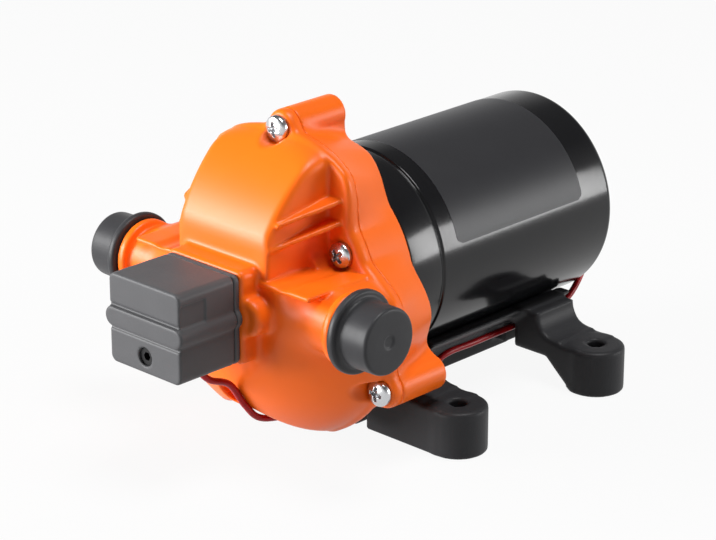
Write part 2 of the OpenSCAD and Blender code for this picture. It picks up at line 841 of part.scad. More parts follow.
// front end of the motor, with the spigot that centres the head and a seat for the bearing
module front_bell() {
  color("#1e1e20") on_axis() difference() {
    union() {
      rod_y(y_bell - spigot_h, y_bell + over, spigot_r);
      rod_y(y_bell + eps, y_seam, motor_r);
    }
    difference() {
      rod_y(y_bell + bell_wall, y_seam + over, can_r - bell_step);
      rod_y(y_bell, y_bearing + bearing_w + over, spigot_r);
      at_bolts() rod_y(y_bell, y_seam - over, bolt_boss_r);
    }
    rod_y(y_bearing, far, bearing_r);
    rod_y(-far, far, shaft_r + bell_bore);
    at_bolts() rod_y(y_bell + bolt_blind, far, bolt_r);
  }
}
module motor_can() {
  can_len = y_rear - y_seam;
  color("#19191b") on_axis() difference() {
    translate([0, y_seam, 0]) rotate([-90, 0, 0]) rotate_extrude() difference() {
      square([motor_r, can_len]);
      translate([motor_r - edge_round, can_len - edge_round]) difference() {
        square([edge_round + over, edge_round + over]);
        circle(r = edge_round);
      }
    }
    rod_y(y_seam - over, y_cap_out, can_r);
    rod_y(y_seam, far, can_r - can_lip);
    for (s = [-1, 1]) translate([0, s * bracket_screw_y, -motor_r])
      cylinder(h = can_wall * 2, r = screw_r, center = true);
  }
}
module rear_cap() {
  color("#232326") on_axis() difference() {
    union() {
      rod_y(y_rear_cap, y_cap_out, can_r);
      rod_y(y_rear_cap, y_cap_out + rear_hub_h, rear_hub_r);
      rod_y(y_rear_cap - rear_boss_len, y_rear_cap + over, rear_boss_r);
    }
    rod_y(-far, y_cap_out - bush_skin, bush_r);
    at_bolts() rod_y(-far, far, bolt_r + seat_gap);
    at_bolts() rod_y(y_cap_out - bolt_head_h, far, bolt_head_r + part_gap);
    translate([lead_end_x, 0, -lead_end_drop]) rod_y(-far, far, grommet_r);
    for (a = vent_angles) rotate([0, a, 0]) translate([0, 0, vent_r]) rod_y(-far, far, vent_hole_r);
  }
}
module through_bolts() {
  color("#a7a9ad") on_axis() at_bolts() difference() {
    union() {
      rod_y(y_bell + bolt_end, y_cap_out - bolt_head_h + eps, bolt_r);
      rod_y(y_cap_out - bolt_head_h, y_cap_out, bolt_head_r);
    }
    block([-far, y_cap_out - slot_deep, -slot_wide / 2], [far, far, slot_wide / 2]);
  }
}
module magnets() {
  color("#4a4a4c") on_axis() both_sides() translate([0, y_core - magnet_over, 0]) rotate([-90, 0, 0])
    rotate([0, 0, -magnet_half]) rotate_extrude(angle = 2 * magnet_half)
      translate([magnet_r, 0]) square([magnet_t, core_len + 2 * magnet_over]);
}
module front_bearing_outer() {
  color("#9fa3a8") on_axis()
    race(y_bearing, bearing_w, bearing_r, bearing_r - bearing_wall, bearing_pitch, ball_r);
}
module front_bearing_inner() {
  color("#aeb2b7") on_axis()
    race(y_bearing, bearing_w, shaft_r + bearing_wall, shaft_r, bearing_pitch, ball_r);
}
module front_bearing_balls() {
  color("#c6c9cc") on_axis() balls(y_bearing + bearing_w / 2, bearing_pitch, ball_r, ball_count);
}
module rear_bush() {
  color("#a0763c") on_axis()
    ring_y(y_rear_cap - rear_boss_len, y_cap_out - bush_skin, bush_r, shaft_r + run_gap);
}
module rotor_shaft() {
  color("#c2c4c7") on_axis() rod_y(y_pivot + shaft_start, y_cap_out - shaft_short, shaft_r);
}
module armature_core() {
  color("#6a6a6c") on_axis() difference() {
    rod_y(y_core, y_core + core_len, core_r);
    rod_y(-far, far, shaft_r);
    for (i = [0:slot_count - 1]) rotate([0, i * 360 / slot_count, 0])
      block([-slot_w / 2, -far, core_r - slot_d], [slot_w / 2, far, core_r + over]);
  }
}
// end turns of the winding, one ring at each end of the core
module windings() {
  bore = shaft_r + winding_bore;
  color("#9c4f22") on_axis() for (y = [y_core - winding_len, y_core + core_len])
    translate([0, y, 0]) rotate([-90, 0, 0]) rotate_extrude()
      translate([bore, 0]) square([winding_r - bore, winding_len]);
}
module commutator() {
  color("#b8722f") on_axis() difference() {
    rod_y(y_commutator - commutator_neck + eps, y_commutator + commutator_len, commutator_r);
    rod_y(-far, far, shaft_r);
    for (i = [0:segment_count - 1]) rotate([0, i * 360 / segment_count + segment_turn, 0])
      block([-segment_gap / 2, y_commutator, commutator_r - segment_deep], [segment_gap / 2, far, far]);
  }
}
module brush_card() {
  color("#6b4a2a") on_axis() difference() {
    ring_y(y_card, y_card + card_t, can_r - part_gap, commutator_r + card_bore);
    at_bolts() rod_y(-far, far, bolt_r + part_gap);
    translate([lead_end_x, 0, -lead_end_drop]) rod_y(-far, far, grommet_r);
  }
}
// brush boxes: square brass tubes with an end stop
module brush_holders() {
  half_w = brush_w / 2;
  half_t = brush_t / 2;
  color("#b08d3e") on_axis() both_sides() difference() {
    block([holder_in, y_brush - half_w - holder_wall, -half_t - holder_wall],
      [holder_in + holder_len + holder_wall, y_card, half_t + holder_wall]);
    block([0, y_brush - half_w - seat_gap, -half_t - seat_gap],
      [holder_in + holder_len, y_brush + half_w + seat_gap, half_t + seat_gap]);
  }
}
module brush() {
  block([brush_in, y_brush - brush_w / 2, -brush_t / 2],
    [brush_in + brush_len, y_brush + brush_w / 2, brush_t / 2]);
}
module brush_right() {
  color("#3a3836") on_axis() brush();
}
module brush_left() {
  color("#3a3836") on_axis() mirror([1, 0, 0]) brush();
}
module brush_springs() {
  start = brush_in + brush_len + spring_wire_r + seat_gap;
  color("#b5b8bb") on_axis() both_sides() translate([start, y_brush, 0]) rotate([0, 90, 0])
    tube(coil(spring_r, brush_spring_len, spring_turns), spring_wire_r, spring_sides);
}

// outlines of the switch box and of the belt, whose round ends stand out at the sides
module switch_outline(grow) {
  half_w = switch_w / 2 + grow;
  half_h = switch_h / 2 + grow;
  in_w = half_w - switch_corner;
  in_h = half_h - switch_corner;
  translate([-in_w, -half_h]) square([2 * in_w, 2 * half_h]);
  translate([-half_w, -in_h]) square([2 * half_w, 2 * in_h]);
  for (x = [-1, 1]) for (z = [-1, 1]) translate([x * in_w, z * in_h]) circle(r = switch_corner);
}
module belt_outline(grow) {
  translate([-belt_x, belt_mid - belt_h / 2 - grow]) square([2 * belt_x, belt_h + 2 * grow]);
  for (s = [-1, 1]) translate([s * belt_x, belt_mid]) circle(r = belt_h / 2 + grow);
}
module switch_profile(grow) {
  switch_outline(grow);
  belt_outline(grow);
}
// box of the switch, with two posts inside that carry the microswitch
module switch_body() {
  color("#2b2a2c") on_switch() {
    switch_shell();
    for (s = [-1, 1]) translate([s * post_x, 0, micro_rise])
      block([-post_w / 2, y_face + over, -post_w / 2], [post_w / 2, y_micro - micro_d, post_w / 2]);
  }
}
module switch_shell() {
  difference() {
    union() {
      ext_y(y_face, y_switch - plate_t) switch_profile(0);
      ext_y(y_face - belt_front, y_face + over) belt_outline(0);
    }
    ext_y(y_face + switch_wall, y_switch) switch_outline(-switch_wall);
    translate([0, 0, adjust_z - switch_z]) rod_y(-far, y_face + switch_wall + over, adjust_hole_d / 2);
    for (s = [-1, 1]) translate([0, 0, belt_mid + s * (belt_h + groove_w) / 2])
      block([-far, -far, -groove_w / 2], [far, y_face + groove_d, groove_w / 2]);
    block([switch_w / 2 - dent_d, y_face + over, dent_top - dent_h], [far, y_face + dent_back, dent_top]);
    translate([lead_x, y_lead, -switch_h / 2]) cylinder(h = switch_wall * 3, r = grommet_r, center = true);
  }
}
module switch_plate() {
  color("#242326") on_switch() difference() {
    ext_y(y_switch - plate_t, y_switch) switch_profile(0);
    translate([0, 0, adjust_z - switch_z]) {
      rod_y(-far, far, plunger_stem_r + stem_clear);
      rod_y(y_switch - seal_t, far, seal_r + seat_gap);
    }
    for (x = [-1, 1]) translate([x * switch_screw_x, 0, switch_screw_z - switch_rise])
      rod_y(-far, far, tap_r + tap_room);
  }
}
module switch_screws() {
  color("#b9bcc0") on_axis() for (x = [-1, 1])
    translate([x * switch_screw_x, y_switch - plate_t, switch_screw_z])
      pan_screw(tap_r, plate_t + screw_deep, switch_head_r, switch_head_h);
}
module switch_seal() {
  color("#5a2a22") on_adjuster() rod_y(y_switch - seal_t, y_switch, seal_r);
}
// pressure plunger, with a lever that reaches up to the microswitch
module plunger() {
  color("#d8d5c8") on_adjuster() {
    rod_y(y_plunger - plunger_t, y_plunger, plunger_r);
    rod_y(y_plunger - eps, y_switch - seal_t - part_gap, plunger_stem_r);
    block([-lever_w / 2, y_plunger - plunger_t, 0], [lever_w / 2, y_plunger, micro_z + micro_h / 2 - adjust_z]);
  }
}
module range_spring() {
  color("#b5b8bb") translate([0, adjust_back + range_wire_r + seat_gap, adjust_z]) rotate([-90, 0, 0])
    tube(coil(range_spring_r, range_len, range_turns), range_wire_r, spring_sides);
}
module adjusting_screw() {
  y_flat = y_face + switch_wall + part_gap;
  color("#8e9196") on_adjuster() difference() {
    union() {
      rod_y(y_face + adjust_sink, adjust_back, adjust_r);
      rod_y(y_flat, y_flat + adjust_flange_t, adjust_r + adjust_flange);
    }
    translate([0, y_face, 0]) rotate([-90, 0, 0]) cylinder(h = hex_d, r = hex_r, $fn = 6);
  }
}
module microswitch() {
  color("#3d3d40") translate([0, 0, micro_z]) difference() {
    block([-micro_w / 2, y_micro - micro_d, -micro_h / 2], [micro_w / 2, y_micro, micro_h / 2]);
    rod_y(y_micro - button_len - plunger_travel - button_room, far, button_r + run_gap);
  }
}
module microswitch_button() {
  color("#c8402c") translate([0, 0, micro_z]) rod_y(y_micro - button_len, y_micro + button_len, button_r);
}
module terminals() {
  color("#c9a54a") translate([0, y_micro - micro_d / 2, micro_z - micro_h / 2 - blade_len])
    for (s = [-1, 1]) translate([s * blade_x, 0, 0])
      block([-blade_w / 2, -blade_t / 2, 0], [blade_w / 2, blade_t / 2, blade_len]);
}

// lead from the switch under the head and along the motor to its back, with its two grommets
module lead_grommet() {
  low = switch_low - grommet_out;
  color("#1c1c1e") translate([lead_x, y_lead, 0]) difference() {
    union() {
      translate([0, 0, low]) cylinder(h = switch_wall + 2 * grommet_out, r = grommet_r - seat_gap);
      translate([0, 0, low]) cylinder(h = grommet_t, r = grommet_r + grommet_rim);
    }
    translate([0, 0, -far]) cylinder(h = 2 * far, r = lead_r + seat_gap);
  }
}
module rear_grommet() {
  color("#1c1c1e") translate([lead_end_x, 0, lead_end_z]) difference() {
    union() {
      rod_y(y_rear_cap - over, y_cap_out + grommet_out, grommet_r - seat_gap);
      rod_y(y_cap_out + part_gap, y_cap_out + grommet_out, grommet_r + grommet_rim);
    }
    rod_y(-far, far, lead_r + seat_gap);
  }
}
module switch_lead() {
  color("#8b0a14") tube(smooth(lead_route), lead_r, lead_sides);
}

// opening under the rear bar, whose sides slope out to the feet
module arch() {
  low_half = bolt_x / 2 - arch_foot;
  polygon([[-low_half, -over], [low_half, -over], [low_half, 0],
    [arch_half, arch_h], [-arch_half, arch_h], [-low_half, 0]]);
}
// cross bar of the base: a foot at each end, and arms that sweep up to the motor
module bar(y_mid, arched) {
  half = bolt_x / 2;
  sweep_x = saddle_half + arm_rise;
  difference() {
    union() {
      ext_y(y_mid - foot_r, y_mid + foot_r) difference() {
        union() {
          translate([-half, 0]) square([bolt_x, foot_h]);
          difference() {
            translate([-sweep_x, 0]) square([2 * sweep_x, foot_h + arm_rise]);
            for (s = [-1, 1]) translate([s * sweep_x, foot_h + arm_rise - sweep_dip]) circle(r = arm_rise);
          }
        }
        if (arched) arch();
      }
      for (s = [-1, 1]) translate([s * half, y_mid, 0]) cylinder(h = foot_h, r = foot_r);
    }
    for (s = [-1, 1]) translate([s * half, y_mid, 0]) {
      translate([0, 0, -over]) cylinder(h = far, r = bolt_hole_r);
      translate([0, 0, -over]) cylinder(h = pad_h + over, r = pad_r);
    }
  }
}
// one piece base: two cross bars, a rail between them and a saddle for the motor
module base_bracket() {
  motor_low = axis_h - motor_r;
  color("#262628") difference() {
    union() {
      bar(-bolt_y / 2, false);
      bar(bolt_y / 2, true);
      block([-rail_w / 2, -bolt_y / 2, rail_low], [rail_w / 2, bolt_y / 2, motor_low + rail_top]);
      intersection() {
        on_axis() rod_y(y_seam + saddle_start, saddle_back, saddle_out_r);
        block([-saddle_half, -far, 0], [saddle_half, far, motor_low + arm_rise]);
      }
    }
    on_axis() rod_y(-far, far, saddle_r);
    on_axis() head_room();
    block([notch_x - notch_w / 2, bar_front - over, -over],
      [notch_x + notch_w / 2, bar_front + foot_d + over, notch_h]);
    block([lead_side_x - notch_w / 2, bar_end - foot_d - over, 0],
      [lead_side_x + notch_w / 2, bar_end + over, lead_side_z + lead_r + lead_gap]);
    for (s = [-1, 1]) translate([0, s * bracket_screw_y, -over]) {
      cylinder(h = far, r = screw_r + part_gap);
      cylinder(h = motor_low - saddle_t + bracket_recess, r = bracket_head_r + part_gap);
    }
  }
}
// room that the base leaves for the tapered head: a waist under the axis and a lobe at each side
module head_room() {
  y_end = y_bell + part_gap;
  taper(y_flange, y_end, waist_r_front + part_gap, waist_r_rear + part_gap);
  difference() {
    taper(y_flange, y_end, lobe_r_front + part_gap, lobe_r_rear + part_gap);
    block([-room_half, -far, -far], [room_half, far, far]);
  }
}
module rubber_feet() {
  color("#1b1b1c") for (x = [-1, 1]) for (y = [-1, 1]) translate([x * bolt_x / 2, y * bolt_y / 2, 0])
    difference() {
      cylinder(h = pad_h, r = pad_r - seat_gap);
      translate([0, 0, -over]) cylinder(h = far, r = bolt_hole_r);
    }
}
module bracket_screws() {
  color("#a7a9ad") for (s = [-1, 1]) translate([0, s * bracket_screw_y, axis_h - motor_r - saddle_t]) {
    translate([0, 0, -bracket_head_h]) cylinder(h = bracket_head_h, r = bracket_head_r);
    cylinder(h = saddle_t + can_wall - screw_short, r = screw_r);
  }
}

upper_housing();
drive_housing();
inlet_cap();
outlet_cap();
housing_screws();
valve_plate();
plate_seal();
inlet_valves();
outlet_valve();
diaphragm();
pistons();
piston_screws();
wobble_plate();
wobble_outer_ring();
wobble_inner_ring();
wobble_balls();
eccentric_hub();
hub_set_screw();
front_bell();
motor_can();
rear_cap();
through_bolts();
magnets();
front_bearing_outer();
front_bearing_inner();
front_bearing_balls();
rear_bush();
rotor_shaft();
armature_core();
windings();
commutator();
brush_card();
brush_holders();
brush_right();
brush_left();
brush_springs();
switch_body();
switch_plate();
switch_screws();
switch_seal();
plunger();
range_spring();
adjusting_screw();
microswitch();
microswitch_button();
terminals();
lead_grommet();
switch_lead();
rear_grommet();
base_bracket();
rubber_feet();
bracket_screws();
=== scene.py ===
"""Caravan water pump: moulded orange head, enamelled motor, pressure switch and footed base."""

import functools
import itertools
import json
import math

import bmesh
import bpy
import numpy as np
from mathutils import Matrix, Vector


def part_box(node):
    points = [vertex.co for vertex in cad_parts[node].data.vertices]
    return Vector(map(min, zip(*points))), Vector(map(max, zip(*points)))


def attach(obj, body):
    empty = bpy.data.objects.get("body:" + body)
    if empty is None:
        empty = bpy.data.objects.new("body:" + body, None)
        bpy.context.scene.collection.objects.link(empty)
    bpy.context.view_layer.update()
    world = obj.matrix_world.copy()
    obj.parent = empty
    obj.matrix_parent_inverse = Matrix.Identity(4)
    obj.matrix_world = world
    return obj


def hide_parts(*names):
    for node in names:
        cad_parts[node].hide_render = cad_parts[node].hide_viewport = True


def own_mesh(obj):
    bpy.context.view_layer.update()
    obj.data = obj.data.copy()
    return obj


bl_info = {
    "name": "Caravan water pump",
    "version": (1, 0, 0),
    "blender": (4, 5, 0),
    "location": "View3D > Sidebar > Pump",
    "description": "Dresses the packed solids of a caravan water pump",
    "category": "Object",
}

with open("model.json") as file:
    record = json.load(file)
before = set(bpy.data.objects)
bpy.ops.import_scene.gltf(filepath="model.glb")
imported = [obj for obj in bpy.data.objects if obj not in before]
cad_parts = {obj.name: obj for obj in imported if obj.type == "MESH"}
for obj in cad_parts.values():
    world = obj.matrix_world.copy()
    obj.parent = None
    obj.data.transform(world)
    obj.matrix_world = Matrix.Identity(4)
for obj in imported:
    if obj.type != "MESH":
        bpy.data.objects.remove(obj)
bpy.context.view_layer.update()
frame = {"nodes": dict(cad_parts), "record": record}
MM = 0.001


def corner(node, high, axis):
    """A CAD node's low or high limit along one axis, in millimetres."""
    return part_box(node)[1 if high else 0][axis] / MM


def middle(node, axis):
    """The middle of a CAD node along one axis, in millimetres."""
    return (corner(node, False, axis) + corner(node, True, axis)) / 2


# Stations along the pump in millimetres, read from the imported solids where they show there
MOTOR_R = (corner("motor_can", True, 0) - corner("motor_can", False, 0)) / 2
AXIS_H = corner("motor_can", True, 2) - MOTOR_R
Y_REAR = corner("motor_can", True, 1)
Y_SEAM = corner("motor_can", False, 1)
Y_BELL = corner("drive_housing", True, 1)
Y_SPLIT = corner("drive_housing", False, 1)
FLANGE_T, NOSE_LONG = 5.0, 27.0
Y_FLANGE = Y_SPLIT - FLANGE_T
Y_NOSE = Y_FLANGE - NOSE_LONG
Y_SWITCH = corner("switch_plate", True, 1)
Y_PLATE = corner("switch_plate", False, 1)
Y_BRUSH = middle("brush_right", 1)

# Lobes of the head: radius at the flange and at the motor, degrees of half a crest and of the fall beside it.
# LOBE_SLOPE brings the lobed radius near a true distance, and BOSS_CLEAR parts lobe from waist above the base
LOBE_FRONT, LOBE_REAR = 56.0, 47.3
WAIST_FRONT, WAIST_REAR = 43.0, 38.3
CREST_FRONT, CREST_REAR = 32.0, 19.0
FALL_FRONT, FALL_REAR = 22.0, 27.0
LOBE_SLOPE = 0.95
BOSS_R, BOSS_HALF, BOSS_FOOT, BOSS_CLEAR = 6.2, 5.8, 30.0, 14.0

# Head screws: three at the corners, three between the lobes, each with a cross recess in its head
THIRDS = (0.0, 120.0, 240.0)
SIXTHS = (60.0, 180.0, 300.0)
CORNER_R, INNER_R = 55.0, 34.4
SCREW_HEAD_T = 3.2
Y_SEAT = corner("housing_screws", False, 1) + SCREW_HEAD_T
SCREW_ROOM_R, SCREW_HOLE_R, SCREW_TAP_R, TAP_DEEP = 5.1, 2.8, 2.5, 15.0
SCREW_R, SCREW_LONG, SCREW_HEAD_R, CROWN_BACK = 2.4, 13.5, 4.7, 5.6
CROSS_LONG, CROSS_WIDE, CROSS_SLOPE, CROSS_FLOOR = 2.75, 0.75, 0.28, 1.1

# Front of the head: shelves, dome, nose and its ribs, switch seat and its knobs, chamber wall
SHELF, SHELF_IN, SHELF_OUT = 12.0, 18.0, 42.0
DOME_R = LOBE_FRONT + 7.0
Y_DOME = Y_FLANGE + math.sqrt(DOME_R ** 2 - LOBE_FRONT ** 2)
NOSE_HALF, NOSE_FLARE, NOSE_RUN, NOSE_SUNK = 21.4, 2.6, 33.0, 1.5
RIB_LEVELS, RIB_LEAN, RIB_HALF = (33.2, 25.5), 0.21, 0.8
RIB_REACH, RIB_SPREAD, RIB_ROOT, RIB_SUNK = 21.8, 0.32, 15.0, 2.5
SEAT_GROW, SEAT_ROOT = 0.8, 8.0
KNOB_X, KNOB_R, KNOB_BACK = 18.4, 6.6, 0.5
WALL_R, WALL_LONG = 28.7, 12.5

# Inside of the head: chamber, valve plate, diaphragm, water ways, room of the drive
CHAMBER_R, CHAMBER_DEEP, CHAMBER_GAP = 26.0, 9.5, 0.3
CYLINDER_RING, CYLINDER_R = 20.0, 15.5
PLATE_T, SHEET_T, SKIN = 8.0, 2.0, 0.03
DELIVERY_R, FRONT_WALL = 10.0, 3.0
SUCTION_X, SUCTION_HALF_X, SUCTION_HALF_Z = -18.5, 5.5, 11.0
INLET_BORE_IN, DRIVE_WALL, BELL_BORE_R = 14.0, 3.0, 14.1
PISTON_HOLE_R, ROLL_OUT, ROLL_HALF, ROLL_T, SEAL_OPEN_R = 12.3, 1.7, 0.7, 1.3, 7.0

# Motor: bare label film with its angles from the top, end turns of the armature
FILM_WIDE, FILM_START, FILM_TURN, FILM_CORNER = 67.0, 8.5, (-62, 76), 2.5
WINDING_MID, WINDING_HALF, BUNDLES = 16.0, 8.0, 12

# Ports and their caps
Y_CAP = middle("outlet_cap", 1)
PORT_Z = middle("outlet_cap", 2) - AXIS_H
CAP_END = corner("outlet_cap", True, 0)
CAP_MOUTH = corner("outlet_cap", False, 0)
CAP_RIM_R = corner("outlet_cap", True, 1) - Y_CAP
CAP_R = 11.7
PORT_END = CAP_END - 3.0
PORT_R, PORT_BORE_R, NECK_R = 9.6, 6.5, 10.4
THREAD_ROOT_R, THREAD_CREST_R = 9.55, 10.45
COLLAR_R, COLLAR_LONG, COLLAR_GAP = CAP_RIM_R - 1.6, 4.0, 0.5

# Pressure switch
SWITCH_HALF_X, SWITCH_HALF_Z, SWITCH_CORNER = 17.0, 15.9, 2.6
BELT_X, BELT_RISE, BELT_R, BELT_FRONT = 15.0, 0.6, 3.6, 0.8
GROOVE_OFF, GROOVE_HALF, GROOVE_DEEP = 4.1, 0.5, 0.6
SWITCH_WALL, ADJUST_HOLE_R, LEAD_HOLE_R = 2.0, 3.25, 2.6
STEM_HOLE_R, SEAL_ROOM_R, SEAL_T = 3.5, 8.1, 1.5
PLATE_SCREW_X, PLATE_SCREW_Z, PLATE_SCREW_R = 8.0, 1.6, 1.5
Y_FACE = corner("switch_body", False, 1) + BELT_FRONT
SWITCH_Z = middle("switch_body", 2)
ADJUST_Z = middle("adjusting_screw", 2)

# Base
FOOT_X, FOOT_Y, FOOT_R, FOOT_H = 56.0, 37.0, 10.5, 17.0
FOOT_HOLE_R, PAD_ROOM_R, PAD_T = 3.25, 9.0, 3.0
ARM_RISE, SADDLE_HALF, SADDLE_END = 9.0, 37.0, 53.5
SADDLE_R = MOTOR_R + 0.3
SADDLE_OUT = SADDLE_R + 4.0
ARCH_X, ARCH_RUN, ARCH_H, ARCH_SLOPE = 53.0, 12.0, 10.5, 0.66
RAIL_HALF, RAIL_LOW, RAIL_HIGH = 15.0, 6.0, 19.0
HEAD_GAP, NOTCH_HALF, NOTCH_FRONT, NOTCH_REAR = 0.3, 2.5, 12.0, 19.3
BASE_SCREW_Y, BASE_HOLE_R, BASE_SCREW_R, BASE_SCREW_SEAT = 22.0, 2.8, 4.3, 14.0

# Lead
Y_LEAD, LEAD_X = middle("lead_grommet", 1), middle("lead_grommet", 0)
LEAD_LOW_X, LEAD_SIDE_X, LEAD_R = 20.0, 24.0, 1.2
LEAD_END_X, LEAD_END_Z = middle("rear_grommet", 0), middle("rear_grommet", 2)


def linear(hex_code):
    """sRGB hex code to linear red, green and blue."""
    parts = [int(hex_code[i:i + 2], 16) / 255 for i in (1, 3, 5)]
    return tuple(c / 12.92 if c <= 0.04045 else ((c + 0.055) / 1.055) ** 2.4 for c in parts)


def put(tree, kind, settings=None, **inputs):
    """Adds a node with its settings; an input is a value, or a socket to link from."""
    made = tree.nodes.new(kind)
    for key, value in (settings or {}).items():
        setattr(made, key, value)
    for key, value in inputs.items():
        socket = made.inputs[int(key[1:]) if key[0] == "_" else key.replace("_", " ")]
        if isinstance(value, bpy.types.NodeSocket):
            tree.links.new(value, socket)
        else:
            socket.default_value = value
    return made


def bare_tree(owner):
    """The empty shader tree of a material or a world."""
    owner.use_nodes = True
    owner.node_tree.nodes.clear()
    return owner.node_tree


def finish(name, shade, rough, metallic=0.0, grit=0.5, depth=0.02, cloud=12.0, spread=0.12,
           rough_spread=0.08, coat=0.0, specular=0.5, bands=None):
    """A surface whose colour clouds softly and whose skin has a fine moulded or finished grit.

    grit and cloud are the sizes in millimetres of the skin's bumps and of the colour's clouds, depth is the
    bump's height in millimetres, and bands gives the pitch, direction and height of fine lines on the skin.
    The real skins are mostly finer than 0.3 mm, and are drawn that coarse or coarser so that they show.
    """
    made = bpy.data.materials.new(name)
    tree = bare_tree(made)
    place = put(tree, "ShaderNodeTexCoord").outputs["Object"]
    clouds = put(tree, "ShaderNodeTexNoise", Vector=place, Scale=1 / (cloud * MM), Detail=3.0)
    low = tuple(c * (1 - spread) for c in shade) + (1,)
    high = tuple(min(1, c * (1 + spread)) for c in shade) + (1,)
    colour = put(tree, "ShaderNodeMix", {"data_type": "RGBA"}, Factor=clouds.outputs["Fac"], _6=low,
                 _7=high)
    grain = put(tree, "ShaderNodeTexNoise", Vector=place, Scale=1 / (grit * MM), Detail=2.0).outputs["Fac"]
    gloss = put(tree, "ShaderNodeMapRange", Value=grain, To_Min=max(0.02, rough - rough_spread),
                To_Max=rough + rough_spread)
    bump = put(tree, "ShaderNodeBump", Height=grain, Distance=depth * MM, Strength=1.0)
    if bands:
        pitch, direction, height = bands
        lines = put(tree, "ShaderNodeTexWave", {"bands_direction": direction}, Vector=place,
                    Scale=0.314 / (pitch * MM), Distortion=0.6, Detail=1.0)
        bump = put(tree, "ShaderNodeBump", Height=lines.outputs["Fac"], Distance=height * MM, Strength=1.0,
                   Normal=bump.outputs[0])
    skin = put(tree, "ShaderNodeBsdfPrincipled", Base_Color=colour.outputs[2], Roughness=gloss.outputs[0],
               Normal=bump.outputs[0], Metallic=metallic, Coat_Weight=coat, Coat_Roughness=0.06,
               Specular_IOR_Level=specular)
    put(tree, "ShaderNodeOutputMaterial", Surface=skin.outputs[0])
    return made


# Materials by the short names below, filled by the first operator
FINISH = {}


def settle(made, body="chassis", stands_for=(), slot=None):
    """Sets a piece on its body and hides the solids it stands for."""
    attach(made, body)
    if stands_for:
        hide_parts(*stands_for)
    return made


def added(name, data):
    """An object linked to the scene."""
    made = bpy.data.objects.new(name, data)
    bpy.context.scene.collection.objects.link(made)
    return made


def in_metres(points):
    """Points in millimetres as tuples in metres."""
    return [tuple(p) for p in np.asarray(points, float) * MM]


def loose(name, points, faces, look):
    """A smooth mesh object from points in millimetres."""
    mesh = bpy.data.meshes.new(name)
    mesh.from_pydata(in_metres(points), [], [tuple(f) for f in faces])
    mesh.materials.append(FINISH[look])
    mesh.update()
    mesh.shade_smooth()
    return added(name, mesh)


def outward(made, angle=35):
    """Merges doubles, turns every face outwards and keeps edges sharper than an angle hard."""
    work = bmesh.new()
    work.from_mesh(made.data)
    bmesh.ops.remove_doubles(work, verts=work.verts, dist=1e-6)
    bmesh.ops.recalc_face_normals(work, faces=work.faces)
    for edge in work.edges:
        edge.smooth = len(edge.link_faces) == 2 and edge.calc_face_angle(0) < math.radians(angle)
    work.to_mesh(made.data)
    work.free()
    made.data.update()
    return made


def rounded(profile, radius, steps=5):
    """A profile of (along, radius) points with its inner corners rounded off."""
    out = [profile[0]]
    for a, b, c in zip(profile, profile[1:], profile[2:]):
        a, b, c = (np.array(p, float) for p in (a, b, c))
        r = min(radius, 0.45 * np.linalg.norm(a - b), 0.45 * np.linalg.norm(c - b))
        start = b + (a - b) / np.linalg.norm(a - b) * r
        end = b + (c - b) / np.linalg.norm(c - b) * r
        for i in range(steps + 1):
            t = i / steps
            out.append(tuple((1 - t) ** 2 * start + 2 * t * (1 - t) * b + t * t * end))
    out.append(profile[-1])
    return out


def turned(profile, axis, centre=(0, 0, 0), sides=96):
    """Points and faces of a shape turned about an axis from (along, radius) points."""
    points, faces, rings = [], [], []
    u, v = (axis + 1) % 3, (axis + 2) % 3
    for along, radius in profile:
        count = 1 if radius < 1e-6 else sides
        rings.append((len(points), count))
        for k in range(count):
            p = list(centre)
            p[axis] += along
            p[u] += radius * math.cos(2 * math.pi * k / sides)
            p[v] += radius * math.sin(2 * math.pi * k / sides)
            points.append(p)
    for (a, na), (b, nb) in zip(rings, rings[1:]):
        for k in range(sides):
            n = (k + 1) % sides
            ring = list(dict.fromkeys([a + k % na, a + n % na, b + n % nb, b + k % nb]))
            if len(ring) > 2:
                faces.append(ring)
    return points, faces


def lathe(name, profile, axis, centre, look, radius=0.6, sides=96, **where):
    """A turned piece with rounded corners, set on its body."""
    points, faces = turned(rounded(profile, radius), axis, centre, sides)
    return settle(outward(loose(name, points, faces, look)), **where)


def thread(start, end, root, crest, pitch, centre, sides=60, rows_a_turn=10, sunk=0.6):
    """Points and faces of a screw thread along X that fades in and out at its ends.

    Each flank runs from a flat root to a flat crest, and the two ends close below the root.
    """
    count = int(abs(end - start) / pitch * rows_a_turn)
    rows = [(start, None)] + [(start + (end - start) * i / count, i / count) for i in range(count + 1)]
    rows.append((end, None))
    points = []
    for along, share in rows:
        for k in range(sides):
            turn = 2 * math.pi * k / sides
            r = root - sunk
            if share is not None:
                phase = (along / pitch - k / sides) % 1
                rise = min(1, max(0, 1.7 * (1 - abs(2 * phase - 1)) - 0.35))
                ends = abs(end - start) * min(share, 1 - share) / pitch
                r = root + (crest - root) * rise * min(1, ends)
            y, z = centre[1] + r * math.cos(turn), centre[2] + r * math.sin(turn)
            points.append((centre[0] + along, y, z))
    faces = []
    for i in range(len(rows)):
        a, b = i * sides, (i + 1) % len(rows) * sides
        for k in range(sides):
            n = (k + 1) % sides
            faces.append((a + k, a + n, b + n, b + k))
    return points, faces


def flowing(points, steps):
    """A smooth curve through given points."""
    p = [np.array(q, float) for q in points]
    out = []
    for i in range(len(p) - 1):
        a, b, c, d = p[max(i - 1, 0)], p[i], p[i + 1], p[min(i + 2, len(p) - 1)]
        for k in range(steps):
            t = k / steps
            out.append(0.5 * (2 * b + (c - a) * t + (2 * a - 5 * b + 4 * c - d) * t * t
                              + (3 * b - a - 3 * c + d) * t ** 3))
    out.append(p[-1])
    return out


